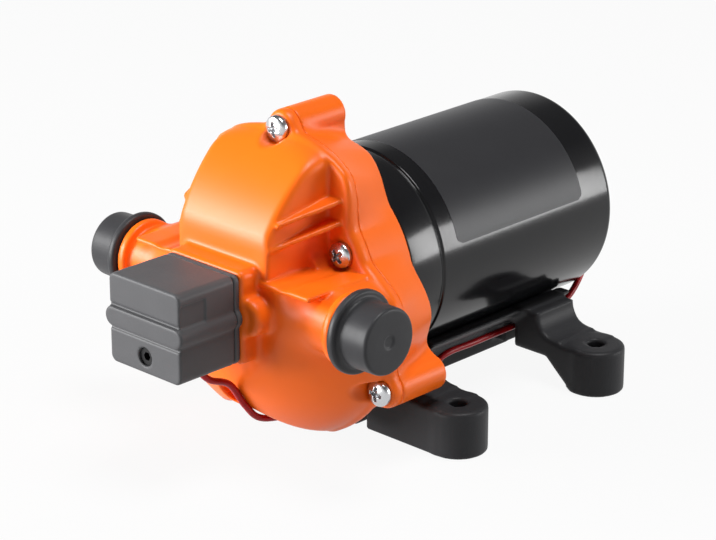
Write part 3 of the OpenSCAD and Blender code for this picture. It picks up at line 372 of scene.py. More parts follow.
def coil(radius, length, turns, steps=28):
    """Points of a coil spring along its first axis, with a closed turn at each end."""
    out = []
    for i in range(turns * steps + 1):
        share = i / (turns * steps)
        along = np.interp(share, (0, 0.8 / turns, 1 - 0.8 / turns, 1), (0, 0.09, 0.91, 1)) * length
        a = 2 * math.pi * i / steps
        out.append((along, radius * math.cos(a), radius * math.sin(a)))
    return out


def growth_tree(name, inputs):
    """An empty geometry node tree with named inputs, and the sockets that bring them in."""
    tree = bpy.data.node_groups.new(name, "GeometryNodeTree")
    tree.interface.new_socket("Geometry", in_out="INPUT", socket_type="NodeSocketGeometry")
    for label, kind in inputs:
        tree.interface.new_socket(label, in_out="INPUT", socket_type="NodeSocket" + kind)
    tree.interface.new_socket("Geometry", in_out="OUTPUT", socket_type="NodeSocketGeometry")
    return tree, put(tree, "NodeGroupInput").outputs


def close_tree(tree, shape, material):
    """Ends a tree with real geometry in its material."""
    whole = put(tree, "GeometryNodeRealizeInstances", Geometry=shape)
    dressed = put(tree, "GeometryNodeSetMaterial", Geometry=whole.outputs[0], Material=material)
    put(tree, "NodeGroupOutput", Geometry=dressed.outputs[0])
    return tree


def copies_tree():
    """Sets a copy of one shape on every point, each with a turn of its own."""
    inputs = (("Shape", "Object"), ("Turn", "Vector"), ("Material", "Material"))
    tree, given = growth_tree("copies on points", inputs)
    shape = put(tree, "GeometryNodeObjectInfo", Object=given["Shape"])
    spin = put(tree, "FunctionNodeRandomValue", {"data_type": "FLOAT_VECTOR"}, _0=(0, 0, 0),
               _1=given["Turn"], Seed=4)
    spread = put(tree, "GeometryNodeInstanceOnPoints", Points=given["Geometry"],
                 Instance=shape.outputs["Geometry"], Rotation=spin.outputs[0])
    return close_tree(tree, spread.outputs[0], given["Material"])


def tube_tree():
    """Runs a round tube along a path."""
    inputs = (("Radius", "Float"), ("Sides", "Int"), ("Material", "Material"))
    tree, given = growth_tree("tube along a path", inputs)
    path = put(tree, "GeometryNodeMeshToCurve", Mesh=given["Geometry"])
    ring = put(tree, "GeometryNodeCurvePrimitiveCircle", Resolution=given["Sides"], Radius=given["Radius"])
    skin = put(tree, "GeometryNodeCurveToMesh", Curve=path.outputs[0], Profile_Curve=ring.outputs[0],
               Fill_Caps=True)
    return close_tree(tree, skin.outputs[0], given["Material"])


def grown(name, points, path, tree, look, **settings):
    """Runs a geometry node tree on points in millimetres and keeps the result as a plain mesh."""
    mesh = bpy.data.meshes.new(name)
    edges = [(i, i + 1) for i in range(len(points) - 1)] if path else []
    mesh.from_pydata(in_metres(points), edges, [])
    made = added(name, mesh)
    growth = made.modifiers.new("growth", "NODES")
    growth.node_group = tree
    sockets = {s.name: s.identifier for s in tree.interface.items_tree if s.in_out == "INPUT"}
    for label, value in {**settings, "Material": FINISH[look]}.items():
        growth[sockets[label]] = value
    evaluated = made.evaluated_get(bpy.context.evaluated_depsgraph_get())
    result = bpy.data.meshes.new_from_object(evaluated)
    made.modifiers.remove(growth)
    made.data = result
    if not len(result.polygons):
        raise RuntimeError(name + " came out empty")
    result.shade_smooth()
    return outward(made, 50)


def copies(name, shape, points, look, turn=(0, 0, 0), **where):
    """Copies of a loose shape at points, as one piece; the shape itself goes."""
    made = grown(name, points, False, copies_tree(), look, Shape=shape, Turn=turn)
    bpy.data.objects.remove(shape)
    return settle(made, **where)


def tube(name, points, radius, look, sides=14, **where):
    """A round tube through points, as one piece."""
    made = grown(name, points, True, tube_tree(), look, Radius=radius * MM, Sides=sides)
    return settle(made, **where)


def join(*shapes):
    """Joins shapes with sharp inner edges."""
    return functools.reduce(np.minimum, shapes)


def common(*shapes):
    """Keeps what shapes share, with sharp edges."""
    return functools.reduce(np.maximum, shapes)


def soft_min(a, b, k):
    """Joins two shapes with a fillet about k millimetres wide."""
    h = np.clip(k - np.abs(a - b), 0, None) / k
    return np.minimum(a, b) - h * h * k * 0.25


def soft_max(a, b, k):
    """Keeps what two shapes share, with a rounded edge."""
    return -soft_min(-a, -b, k)


def between(v, low, high):
    """Distance to the slab between two limits."""
    return np.maximum(low - v, v - high)


def slab(x, z, half_x, half_z, r):
    """Distance in a plane to a rectangle with rounded corners."""
    a, b = np.abs(x) - half_x + r, np.abs(z) - half_z + r
    return np.hypot(np.clip(a, 0, None), np.clip(b, 0, None)) + np.minimum(np.maximum(a, b), 0) - r


def brick(x, y, z, low, high, r=0.0):
    """Distance to a box with rounded edges."""
    q = [np.abs(v - (a + b) / 2) - (b - a) / 2 + r for v, a, b in zip((x, y, z), low, high)]
    out = np.sqrt(sum(np.clip(v, 0, None) ** 2 for v in q))
    return out + np.minimum(np.maximum(np.maximum(q[0], q[1]), q[2]), 0) - r


def lattice_skin(d):
    """Points, in lattice steps, and outward quads of the skin where d is zero."""
    cells = [s - 1 for s in d.shape]
    corners = list(itertools.product((0, 1), repeat=3))
    part = {o: d[tuple(slice(a, a + n) for a, n in zip(o, cells))] for o in corners}
    count = sum((part[o] < 0).astype(np.int8) for o in corners)
    live = np.argwhere((count > 0) & (count < 8))
    value = {o: part[o][tuple(live.T)] for o in corners}
    total, hits = np.zeros((len(live), 3)), np.zeros(len(live))
    for axis in range(3):
        for o in corners:
            if o[axis]:
                continue
            end = tuple(c + (i == axis) for i, c in enumerate(o))
            a, b = value[o], value[end]
            cross = (a < 0) != (b < 0)
            t = np.where(cross, a / np.where(cross, a - b, 1), 0)
            total += (np.array(o, float) + t[:, None] * np.eye(3)[axis]) * cross[:, None]
            hits += cross
    index = np.full(cells, -1, np.int64)
    index[tuple(live.T)] = np.arange(len(live))
    inside = d < 0
    quads = []
    for axis in range(3):
        u, v = (axis + 1) % 3, (axis + 2) % 3
        near, away = [slice(None)] * 3, [slice(None)] * 3
        near[axis], away[axis] = slice(0, -1), slice(1, None)
        first = inside[tuple(near)]
        edges = np.argwhere(first != inside[tuple(away)])
        keep = (edges[:, u] > 0) & (edges[:, v] > 0) & (edges[:, u] < cells[u]) & (edges[:, v] < cells[v])
        edges = edges[keep]
        ring = []
        for du, dv in ((-1, -1), (0, -1), (0, 0), (-1, 0)):
            c = edges.copy()
            c[:, u] += du
            c[:, v] += dv
            ring.append(index[tuple(c.T)])
        ring = np.stack(ring, 1)
        quads.append(np.where(first[tuple(edges.T)][:, None], ring, ring[:, ::-1]))
    return live + total / hits[:, None], np.vstack(quads)


def cast(name, low, high, step, field, look):
    """A loose mesh whose skin is where field(x, y, z) is zero, in millimetres."""
    low = np.array(low, float)
    axes = [np.arange(a, b + step, step) for a, b in zip(low, high)]
    grid = field(axes[0][:, None, None], axes[1][None, :, None], axes[2][None, None, :])
    points, quads = lattice_skin(np.broadcast_to(grid, [len(a) for a in axes]))
    points = low + points * step
    # Two steps along the field's slope draw the points onto the skin itself
    probe, reach = 0.05, 0.35 * step
    for _ in range(2):
        here = field(*points.T)
        slope = np.stack([field(*(points + probe * e).T) - here for e in np.eye(3)], 1) / probe
        move = here[:, None] * slope / np.clip((slope ** 2).sum(1), 0.3, None)[:, None]
        points -= np.clip(move, -reach, reach)
    return loose(name, points, quads, look)


def moulded(name, low, high, step, field, look, **where):
    """A moulded piece, set on its body."""
    return settle(cast(name, low, high, step, field, look), **where)


def ease(t):
    """A smooth step from 0 to 1."""
    t = np.clip(t, 0, 1)
    return t * t * (3 - 2 * t)


def taper(y):
    """Share of the way from the flange to the motor."""
    return np.clip((y - Y_FLANGE) / (Y_BELL - Y_FLANGE), 0, 1)


def lobed_radius(x, y, z):
    """Radius of the three lobed head round its axis: full at the flange, narrower at the motor."""
    off = np.abs((np.degrees(np.arctan2(x, z)) + 60) % 120 - 60)
    front = LOBE_FRONT - (LOBE_FRONT - WAIST_FRONT) * ease((off - CREST_FRONT) / FALL_FRONT)
    rear = LOBE_REAR - (LOBE_REAR - WAIST_REAR) * ease((off - CREST_REAR) / FALL_REAR)
    return front + (rear - front) * taper(y)


def lobed_body(x, y, z, ends, edges):
    """The tapered lobed block between two stations, with rounded ends and long screw bosses on its lobes."""
    body = (np.hypot(x, z) - lobed_radius(x, y, z)) * LOBE_SLOPE
    for b in THIRDS:
        s, c = math.sin(math.radians(b)), math.cos(math.radians(b))
        out, across = x * s + z * c, x * c - z * s
        foot = np.maximum(np.abs(across) - BOSS_HALF, between(out, BOSS_FOOT, CORNER_R))
        body = soft_min(body, np.minimum(np.hypot(across, out - CORNER_R) - BOSS_R, foot), 4.0)
    return soft_max(soft_max(body, ends[0] - y, edges[0]), y - ends[1], edges[1])


def on_circle(ring, turns):
    """Places on a circle round the axis, as (x, z) from the axis."""
    return [(ring * math.sin(math.radians(b)), ring * math.cos(math.radians(b))) for b in turns]


def rods(x, z, ring, turns, r):
    """Distance to rods along the pump on a circle."""
    return join(*(np.hypot(x - across, z - up) - r for across, up in on_circle(ring, turns)))


def screw_rods(x, z, r):
    """Distance to rods in the places of the six head screws."""
    return np.minimum(rods(x, z, CORNER_R, THIRDS, r), rods(x, z, INNER_R, SIXTHS, r))


def chamber(x, z, grow=0.0):
    """Distance in the plane to the outline shared by the valve plate, its seal and the diaphragm."""
    return np.minimum(np.hypot(x, z) - CHAMBER_R, rods(x, z, CYLINDER_RING, THIRDS, CYLINDER_R)) - grow


def switch_belt(x, z, grow=0.0):
    """Distance in the plane to the belt of the switch."""
    return np.hypot(np.clip(np.abs(x) - BELT_X, 0, None), z - BELT_RISE) - BELT_R - grow


def switch_outline(x, z, grow=0.0):
    """Distance in the plane to the switch: a rounded box with a half round belt at each side."""
    box = slab(x, z, SWITCH_HALF_X + grow, SWITCH_HALF_Z + grow, SWITCH_CORNER)
    return soft_min(box, switch_belt(x, z, grow), 0.8)


def domed_front(x, y, z):
    """Round dome below the shelves and blunt nose above them, within the outline of the flange."""
    outline = (np.hypot(x, z) - lobed_radius(x, Y_FLANGE, z) + 0.8) * LOBE_SLOPE
    dome = soft_max(np.sqrt(x * x + (y - Y_DOME) ** 2 + z * z) - DOME_R, z - SHELF, 1.5)
    side = np.abs(x) - NOSE_HALF - NOSE_FLARE * (y - Y_NOSE + 1) / NOSE_RUN
    nose = soft_max(np.hypot(y - Y_DOME, z) - DOME_R + NOSE_SUNK, side, 3.2)
    front = soft_max(soft_min(dome, np.maximum(nose, -z), 1.5), outline, 4.0)
    return soft_max(front, between(y, Y_NOSE, Y_FLANGE + 2), 1.5)


def nose_rib(ax, y, z, level):
    """A thin rib beside the nose that rises towards the flange."""
    rise = z - level - RIB_LEAN * (y - Y_NOSE - NOSE_LONG / 2)
    reach = ax - RIB_REACH - RIB_SPREAD * (y - Y_NOSE - 1)
    top = np.hypot(y - Y_DOME, z) - DOME_R + RIB_SUNK
    return common(np.abs(rise) - RIB_HALF, between(y, Y_NOSE + 1, Y_FLANGE + 1), reach, RIB_ROOT - ax, top)


def switch_seat(x, y, z):
    """Seat behind the pressure switch, with a round knob at each side."""
    root = Y_NOSE + SEAT_ROOT
    seat = soft_max(switch_outline(x, z, SEAT_GROW), between(y, Y_SWITCH, root), 1.6)
    knob = np.hypot(np.abs(x) - KNOB_X, z - BELT_RISE) - KNOB_R
    return soft_min(seat, soft_max(knob, between(y, Y_SWITCH + KNOB_BACK, root), 2.4), 2.0)


def upper_hollow(x, y, z, port):
    """Screw holes, chamber and water ways of the front half."""
    room = np.maximum(chamber(x, z, CHAMBER_GAP), Y_SPLIT - CHAMBER_DEEP - y)
    delivery = np.maximum(np.hypot(x, z) - DELIVERY_R, Y_NOSE + FRONT_WALL - y)
    suction = brick(x, y, z, (SUCTION_X - SUCTION_HALF_X, Y_CAP - PORT_BORE_R, -SUCTION_HALF_Z),
                    (SUCTION_X + SUCTION_HALF_X, Y_SPLIT + 9, SUCTION_HALF_Z))
    bores = np.maximum(port - PORT_BORE_R, np.where(x > 0, -x, x + INLET_BORE_IN))
    return join(screw_rods(x, z, SCREW_HOLE_R), room, delivery, suction, bores)


def upper_field(x, y, z):
    """Orange front half of the head."""
    z = z - AXIS_H
    ax = np.abs(x)
    body = lobed_body(x, y, z, (Y_FLANGE, Y_SPLIT - 0.02), (3.5, 0.3))
    body = soft_min(body, domed_front(x, y, z), 1.5)
    for level in RIB_LEVELS:
        body = soft_min(body, nose_rib(ax, y, z, level), 0.6)
    body = soft_min(body, switch_seat(x, y, z + AXIS_H - SWITCH_Z), 2.2)
    wall = soft_max(np.hypot(x, z) - WALL_R, between(y, Y_SPLIT - WALL_LONG, Y_FLANGE + 1), 0.8)
    body = soft_min(body, wall, 1.5)
    port = np.hypot(y - Y_CAP, z - PORT_Z)
    neck = np.maximum(port - NECK_R, ax - CAP_MOUTH)
    collar = soft_max(port - COLLAR_R, between(ax, CAP_MOUTH - COLLAR_LONG, CAP_MOUTH - COLLAR_GAP), 1.2)
    body = soft_min(soft_min(body, neck, 4.0), collar, 1.5)
    shelf = brick(ax, y, z, (SHELF_IN, Y_NOSE - 1, SHELF - 1.2), (SHELF_OUT, Y_FLANGE + 1, SHELF + 0.7), 0.4)
    body = soft_min(body, shelf, 0.5)
    cap_room = np.maximum(port - CAP_RIM_R - 0.6, CAP_MOUTH - COLLAR_GAP - ax)
    body = soft_max(body, -cap_room, 0.8)
    body = np.minimum(body, soft_max(port - PORT_R, ax - PORT_END, 1.0))
    body = soft_max(body, -np.maximum(screw_rods(x, z, SCREW_ROOM_R), y - Y_SEAT), 0.8)
    return np.maximum(body, -upper_hollow(x, y, z, port))


def drive_field(x, y, z):
    """Orange rear half of the head, hollow for the wobble drive."""
    z = z - AXIS_H
    body = lobed_body(x, y, z, (Y_SPLIT, Y_BELL), (0.3, 1.4))
    sheet_room = np.maximum(chamber(x, z, CHAMBER_GAP), y - Y_SPLIT - SHEET_T)
    drive_room = np.maximum(chamber(x, z, -DRIVE_WALL), y - Y_BELL + DRIVE_WALL)
    taps = np.maximum(screw_rods(x, z, SCREW_TAP_R), y - Y_FLANGE - TAP_DEEP)
    return np.maximum(body, -join(sheet_room, drive_room, np.hypot(x, z) - BELL_BORE_R, taps))


class PUMP_OT_head(bpy.types.Operator):
    """Moulds the two orange halves of the pump head"""

    bl_idname = "pump.head"
    bl_label = "Pump head"

    def execute(self, context):
        step = context.scene.pump_sizes.head_step / MM
        halves = (("head_front", "upper_housing", upper_field, 67, Y_SWITCH - 2, Y_SPLIT + 2),
                  ("head_rear", "drive_housing", drive_field, 62, Y_SPLIT - 2, Y_BELL + 2))
        for name, node, field, half, front, rear in halves:
            low, high = (-half, front, AXIS_H - 58), (half, rear, AXIS_H + 64)
            moulded(name, low, high, step, field, "orange", stands_for=[node], slot="orange_housing")
        return {"FINISHED"}


class PUMP_OT_ports(bpy.types.Operator):
    """Cuts the port threads and presses a dipped vinyl cap over each port"""

    bl_idname = "pump.ports"
    bl_label = "Ports and caps"

    def execute(self, context):
        pitch = context.scene.pump_sizes.thread_pitch / MM
        centre = (0, Y_CAP, AXIS_H + PORT_Z)
        floor, rim, dimple = CAP_END - 1.6, CAP_MOUTH + 3, CAP_END - 0.5
        cup = [(floor, 0), (floor, 10.6), (CAP_MOUTH, 10.7), (CAP_MOUTH, CAP_RIM_R), (rim, CAP_RIM_R),
               (rim + 0.1, CAP_R + 0.1), (CAP_END, CAP_R - 0.15), (CAP_END, 2.6), (dimple, 1.8), (dimple, 0)]
        for side, name in ((1, "outlet"), (-1, "inlet")):
            lathe(name + "_vinyl_cap", [(side * a, r) for a, r in cup], 0, centre, "vinyl", 1.3, 112,
                  body=name + "_cap", stands_for=[name + "_cap"], slot="black_cap")
            start, end = side * (CAP_MOUTH - 0.3), side * (PORT_END - 0.4)
            skin = thread(start, end, THREAD_ROOT_R, THREAD_CREST_R, pitch, centre)
            settle(outward(loose(name + "_thread", *skin, "orange"), 60), slot="orange_housing")
        return {"FINISHED"}


def screw_field(x, y, z):
    """Pan head screw with a cross recess, seated at y = 0 with its point towards +Y."""
    ring = np.hypot(x, z)
    crown = np.sqrt(ring ** 2 + (y - CROWN_BACK) ** 2) - CROWN_BACK - SCREW_HEAD_T
    head = soft_max(np.maximum(ring - SCREW_HEAD_R, y), crown, 0.7)
    sunk = (y + SCREW_HEAD_T) * CROSS_SLOPE
    far, near = CROSS_LONG - sunk, CROSS_WIDE - 0.4 * sunk
    cross = np.minimum(slab(x, z, far, near, 0.2), slab(x, z, near, far, 0.2))
    head = soft_max(head, -np.maximum(cross, y + CROSS_FLOOR), 0.25)
    return np.minimum(head, soft_max(ring - SCREW_R, between(y, -0.5, SCREW_LONG), 0.6))


class PUMP_OT_screws(bpy.types.Operator):
    """Sets the six zinc plated screws of the head"""

    bl_idname = "pump.screws"
    bl_label = "Head screws"

    def execute(self, context):
        step = context.scene.pump_sizes.screw_step / MM
        one = cast("head_screw", (-5.2, -3.6, -5.2), (5.2, 14.2, 5.2), step, screw_field, "zinc")
        circles = on_circle(CORNER_R, THIRDS) + on_circle(INNER_R, SIXTHS)
        places = [(across, Y_SEAT, AXIS_H + up) for across, up in circles]
        copies("head_screws", one, places, "zinc", (0, math.radians(88), 0), stands_for=["housing_screws"],
               slot="zinc_screw")
        return {"FINISHED"}


def film(width, start, turn, lift, corner_r, columns=72, rows=10):
    """Points and faces of a thin film round the motor, from one angle to another."""
    points, faces = [], []
    first, last = turn
    arc = math.radians(abs(last - first)) * MOTOR_R
    for layer in (lift, -0.05):
        r = MOTOR_R + layer
        for i in range(columns + 1):
            share = i / columns
            near = min(share, 1 - share) * arc
            cut = corner_r - math.sqrt(max(0, corner_r ** 2 - max(0, corner_r - near) ** 2))
            angle = math.radians(first + (last - first) * share)
            for k in range(rows + 1):
                y = start + cut + (width - 2 * cut) * k / rows
                points.append((r * math.sin(angle), y, AXIS_H + r * math.cos(angle)))
    step, base = rows + 1, (columns + 1) * (rows + 1)
    for i in range(columns):
        for k in range(rows):
            a = i * step + k
            faces.append((a, a + 1, a + step + 1, a + step))
            faces.append((base + a, base + a + step, base + a + step + 1, base + a + 1))
        for k in (0, rows):
            a = i * step + k
            faces.append((a, a + step, base + a + step, base + a))
    for i in (0, columns):
        for k in range(rows):
            a = i * step + k
            faces.append((a, a + 1, base + a + 1, base + a))
    return points, faces


class PUMP_OT_motor(bpy.types.Operator):
    """Turns the motor's front bell and can, and lays the bare label film on it"""

    bl_idname = "pump.motor"
    bl_label = "Motor"

    def execute(self, context):
        lift = context.scene.pump_sizes.film_lift / MM
        groove, bell_in, can_in, lip, bend = MOTOR_R - 0.7, 35, 36, 35, 2.5
        bell = [(Y_SEAM, bell_in), (Y_BELL + 5, bell_in), (Y_BELL + 5, 14), (Y_BELL + 7, 14),
                (Y_BELL + 7, 11), (Y_BELL - 1, 11), (Y_BELL - 1, 6), (Y_BELL - 3, 6), (Y_BELL - 3, 14),
                (Y_BELL, 14), (Y_BELL, MOTOR_R), (Y_SEAM - 0.9, MOTOR_R), (Y_SEAM - 0.4, groove),
                (Y_SEAM, groove), (Y_SEAM, bell_in)]
        rim = [(Y_REAR - bend + bend * math.sin(a), MOTOR_R - bend + bend * math.cos(a))
               for a in np.radians(np.linspace(0, 90, 9))]
        can = [(Y_SEAM, can_in), (Y_SEAM, groove), (Y_SEAM + 0.5, groove), (Y_SEAM + 1.0, MOTOR_R)] + rim
        can += [(Y_REAR, lip), (Y_REAR - 3, lip), (Y_REAR - 3, can_in), (Y_SEAM, can_in)]
        for name, node, profile, edge in (("motor_front_bell", "front_bell", bell, 0.45),
                                          ("motor_steel_can", "motor_can", can, 0.35)):
            lathe(name, profile, 1, (0, 0, AXIS_H), "enamel", edge, 160, stands_for=[node],
                  slot="motor_enamel")
        wrap = film(FILM_WIDE, Y_SEAM + FILM_START, FILM_TURN, lift, FILM_CORNER)
        settle(outward(loose("motor_label_film", *wrap, "film")), slot="motor_enamel")
        return {"FINISHED"}


def switch_field(x, y, z):
    """Box of the pressure switch: rounded, belted, hollow, with the adjuster's hole in front."""
    z = z - SWITCH_Z
    body = soft_max(switch_outline(x, z), between(y, Y_FACE, Y_PLATE - 0.05), 0.9)
    belt = soft_max(switch_belt(x, z), between(y, Y_FACE - BELT_FRONT, Y_FACE + 5), 1.0)
    body = np.minimum(body, belt)
    for s in (-1, 1):
        across = np.abs(z - BELT_RISE - s * GROOVE_OFF) - GROOVE_HALF
        body = soft_max(body, -np.maximum(across, y - Y_FACE - GROOVE_DEEP), 0.4)
    panel = brick(x, y, z, (16.4, Y_FACE + 1, 4), (30, Y_FACE + 12, 12), 0.5)
    body = soft_max(body, -panel, 0.4)
    hole = np.maximum(np.hypot(x, z + SWITCH_Z - ADJUST_Z) - ADJUST_HOLE_R, y - Y_FACE - 3)
    body = soft_max(body, -hole, 0.5)
    room = slab(x, z, SWITCH_HALF_X - SWITCH_WALL, SWITCH_HALF_Z - SWITCH_WALL, 3.5)
    room = np.maximum(room, Y_FACE + SWITCH_WALL - y)
    lead_hole = np.maximum(np.hypot(x - LEAD_X, y - Y_LEAD) - LEAD_HOLE_R, z + 12)
    posts = brick(np.abs(x), y, z, (5, Y_FACE + 1, 4.5), (9, Y_PLATE - 16.4, 8.5), 0.3)
    return np.minimum(np.maximum(body, -np.minimum(room, lead_hole)), posts)


def plate_field(x, y, z):
    """Back plate of the pressure switch, bored for the plunger and recessed for its seal."""
    z = z - SWITCH_Z
    body = soft_max(switch_outline(x, z), between(y, Y_PLATE + 0.05, Y_SWITCH - 0.02), 0.9)
    stem = np.hypot(x, z + SWITCH_Z - ADJUST_Z)
    recess = np.maximum(stem - SEAL_ROOM_R, Y_SWITCH - SEAL_T - y)
    screws = np.hypot(np.abs(x) - PLATE_SCREW_X, z - PLATE_SCREW_Z) - PLATE_SCREW_R
    return np.maximum(body, -join(stem - STEM_HOLE_R, recess, screws))


class PUMP_OT_switch(bpy.types.Operator):
    """Moulds the pressure switch and winds its range spring"""

    bl_idname = "pump.switch"
    bl_label = "Pressure switch"

    def execute(self, context):
        step = context.scene.pump_sizes.fine_step / MM
        shells = (("switch_box", "switch_body", switch_field, Y_FACE - 2.1, Y_PLATE + 1),
                  ("switch_back", "switch_plate", plate_field, Y_PLATE - 1, Y_SWITCH + 1))
        for name, node, field, front, rear in shells:
            low, high = (-20.1, front, SWITCH_Z - 17.6), (20.1, rear, SWITCH_Z + 17.6)
            moulded(name, low, high, step, field, "black", stands_for=[node], slot="black_moulding")
        seal = [(-1.5, 0), (-1.5, 5), (-1.2, 5.6), (-1.5, 6.2), (-1.5, 8), (0, 8), (0, 6.4), (-0.5, 5.8),
                (-0.2, 5), (-0.2, 0)]
        lathe("switch_rubber_seal", [(Y_SWITCH + a, r) for a, r in seal], 1, (0, 0, ADJUST_Z), "silicone",
              0.3, 64, stands_for=["switch_seal"], slot="red_rubber")
        low, high = corner("range_spring", False, 1), corner("range_spring", True, 1)
        wound = [(a, low + 0.5 + along, ADJUST_Z + b) for along, a, b in coil(2.9, high - low - 1, 5)]
        spring = tube("range_coil", wound, 0.5, "spring", stands_for=["range_spring"], slot="zinc_screw")
        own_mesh(spring)
        return {"FINISHED"}


def lead_notch(x, y, z, mid_x, mid_y, top):
    """Notch in a cross bar for the lead."""
    low = (mid_x - NOTCH_HALF, mid_y - FOOT_R - 1, -9)
    return brick(x, y, z, low, (mid_x + NOTCH_HALF, mid_y + FOOT_R + 1, top), 0.6)


def base_field(x, y, z):
    """One piece base: feet, two cross bars with swept arms, a rail and a saddle for the motor."""
    ax, ay = np.abs(x), np.abs(y)
    tall = FOOT_H + ARM_RISE
    sweep = SADDLE_HALF + ARM_RISE
    arm = common(ax - sweep, z - tall, ARM_RISE - np.hypot(ax - sweep, z - tall + 0.3))
    profile = soft_min(np.maximum(ax - FOOT_X, z - FOOT_H), arm, 3.0)
    arch = np.maximum((ax - ARCH_X + z * ARCH_RUN / ARCH_H) * ARCH_SLOPE, z - ARCH_H)
    profile = np.where(y > 0, soft_max(profile, -arch, 2.5), profile)
    body = soft_max(profile, ay - FOOT_Y - FOOT_R, 1.6)
    body = soft_max(body, FOOT_Y - FOOT_R - ay, 1.6)
    hole = np.hypot(ax - FOOT_X, ay - FOOT_Y)
    body = soft_min(body, soft_max(hole - FOOT_R, z - FOOT_H, 1.8), 1.0)
    rail = brick(x, y, z, (-RAIL_HALF, -FOOT_Y, RAIL_LOW), (RAIL_HALF, FOOT_Y, RAIL_HIGH), 1.0)
    body = soft_min(body, rail, 2.0)
    from_axis = np.hypot(x, z - AXIS_H)
    saddle = common(from_axis - SADDLE_OUT, ax - SADDLE_HALF, z - tall)
    body = soft_min(body, soft_max(saddle, between(y, Y_SEAM + 3, SADDLE_END), 1.0), 3.0)
    body = soft_max(soft_max(body, SADDLE_R - from_axis, 0.8), -z, 1.2)
    lobe = LOBE_FRONT + (LOBE_REAR - LOBE_FRONT) * taper(y)
    waist = WAIST_FRONT + (WAIST_REAR - WAIST_FRONT) * taper(y)
    head_room = from_axis - np.where(ax > BOSS_CLEAR, lobe, waist) - HEAD_GAP
    body = np.maximum(body, -np.maximum(head_room, y - Y_BELL - HEAD_GAP))
    front_notch = lead_notch(x, y, z, LEAD_LOW_X, -FOOT_Y, NOTCH_FRONT)
    rear_notch = lead_notch(x, y, z, LEAD_SIDE_X, FOOT_Y, NOTCH_REAR)
    body = soft_max(body, -np.minimum(front_notch, rear_notch), 0.6)
    body = soft_max(body, FOOT_HOLE_R - hole, 0.6)
    body = np.maximum(body, -np.maximum(hole - PAD_ROOM_R, z - PAD_T))
    screw = np.hypot(x, ay - BASE_SCREW_Y)
    screw_room = np.maximum(screw - BASE_SCREW_R, z - BASE_SCREW_SEAT)
    return np.maximum(body, -np.minimum(screw - BASE_HOLE_R, screw_room))


class PUMP_OT_base(bpy.types.Operator):
    """Moulds the footed base and its four rubber pads"""

    bl_idname = "pump.base"
    bl_label = "Base"

    def execute(self, context):
        step = context.scene.pump_sizes.base_step / MM
        moulded("footed_base", (-68, -49.2, -1.6), (68, 55, 28), step, base_field, "base",
                stands_for=["base_bracket"], slot="black_moulding")
        pad = [(PAD_T, 3.3), (PAD_T, 8.8), (1, 8.8), (0, 8.2), (0, 7.2), (0.5, 6.8), (0.5, 6.0), (0, 5.6),
               (0, 3.9), (0.5, 3.3), (PAD_T, 3.3)]
        one = outward(loose("pad", *turned(rounded(pad, 0.4), 2, sides=72), "rubber"))
        places = [(a * FOOT_X, b * FOOT_Y, 0) for a in (-1, 1) for b in (-1, 1)]
        copies("foot_pads", one, places, "rubber", stands_for=["rubber_feet"], slot="black_rubber")
        return {"FINISHED"}


def under_dome(y):
    """Height of the lead under the domed front."""
    reach = math.sqrt(DOME_R ** 2 - (y - Y_DOME) ** 2 - LEAD_X ** 2)
    return AXIS_H - LEAD_R - 0.9 - min(WAIST_FRONT - 0.8, reach)


def lead_route():
    """Listed points of the lead, as in the part's source."""
    foot = SWITCH_Z - SWITCH_HALF_Z
    low = AXIS_H - WAIST_FRONT - LEAD_R - 2.25
    side = AXIS_H - math.sqrt(SADDLE_OUT ** 2 - LEAD_SIDE_X ** 2) - LEAD_R - 1.8
    bar = FOOT_Y + FOOT_R
    y_inner = Y_REAR - 8
    return [(LEAD_X, Y_LEAD, foot + 4), (LEAD_X, Y_LEAD, foot - 2), (LEAD_X, Y_LEAD, foot - 4.4),
            (LEAD_X, Y_LEAD + 4, foot - 8), (LEAD_X, Y_NOSE - 3, under_dome(Y_NOSE) + 3),
            (LEAD_X, Y_NOSE + 4, under_dome(Y_NOSE + 4)), (LEAD_X, Y_CAP, under_dome(Y_CAP)),
            (LEAD_X + 2, Y_FLANGE - 5, low), (14, Y_FLANGE + 9, low), (LEAD_LOW_X, -bar, low),
            (LEAD_LOW_X, 10 - bar, low), (LEAD_LOW_X, 20 - bar, low + 1),
            (LEAD_SIDE_X - 1, 31 - bar, side - 4), (LEAD_SIDE_X, -8, side), (LEAD_SIDE_X, 6, side),
            (LEAD_SIDE_X, 18, side), (LEAD_SIDE_X, FOOT_Y, side), (LEAD_SIDE_X, bar + 2, side),
            (LEAD_SIDE_X, Y_REAR - 7, side + 3),
            (LEAD_SIDE_X - 2, Y_REAR + 2.4, side + 9), (LEAD_END_X + 0.6, Y_REAR + 4.6, LEAD_END_Z - 4),
            (LEAD_END_X, Y_REAR + 3, LEAD_END_Z - 0.4), (LEAD_END_X, Y_REAR - 1, LEAD_END_Z),
            (LEAD_END_X, y_inner + 2, LEAD_END_Z), (LEAD_END_X, y_inner - 2, LEAD_END_Z)]


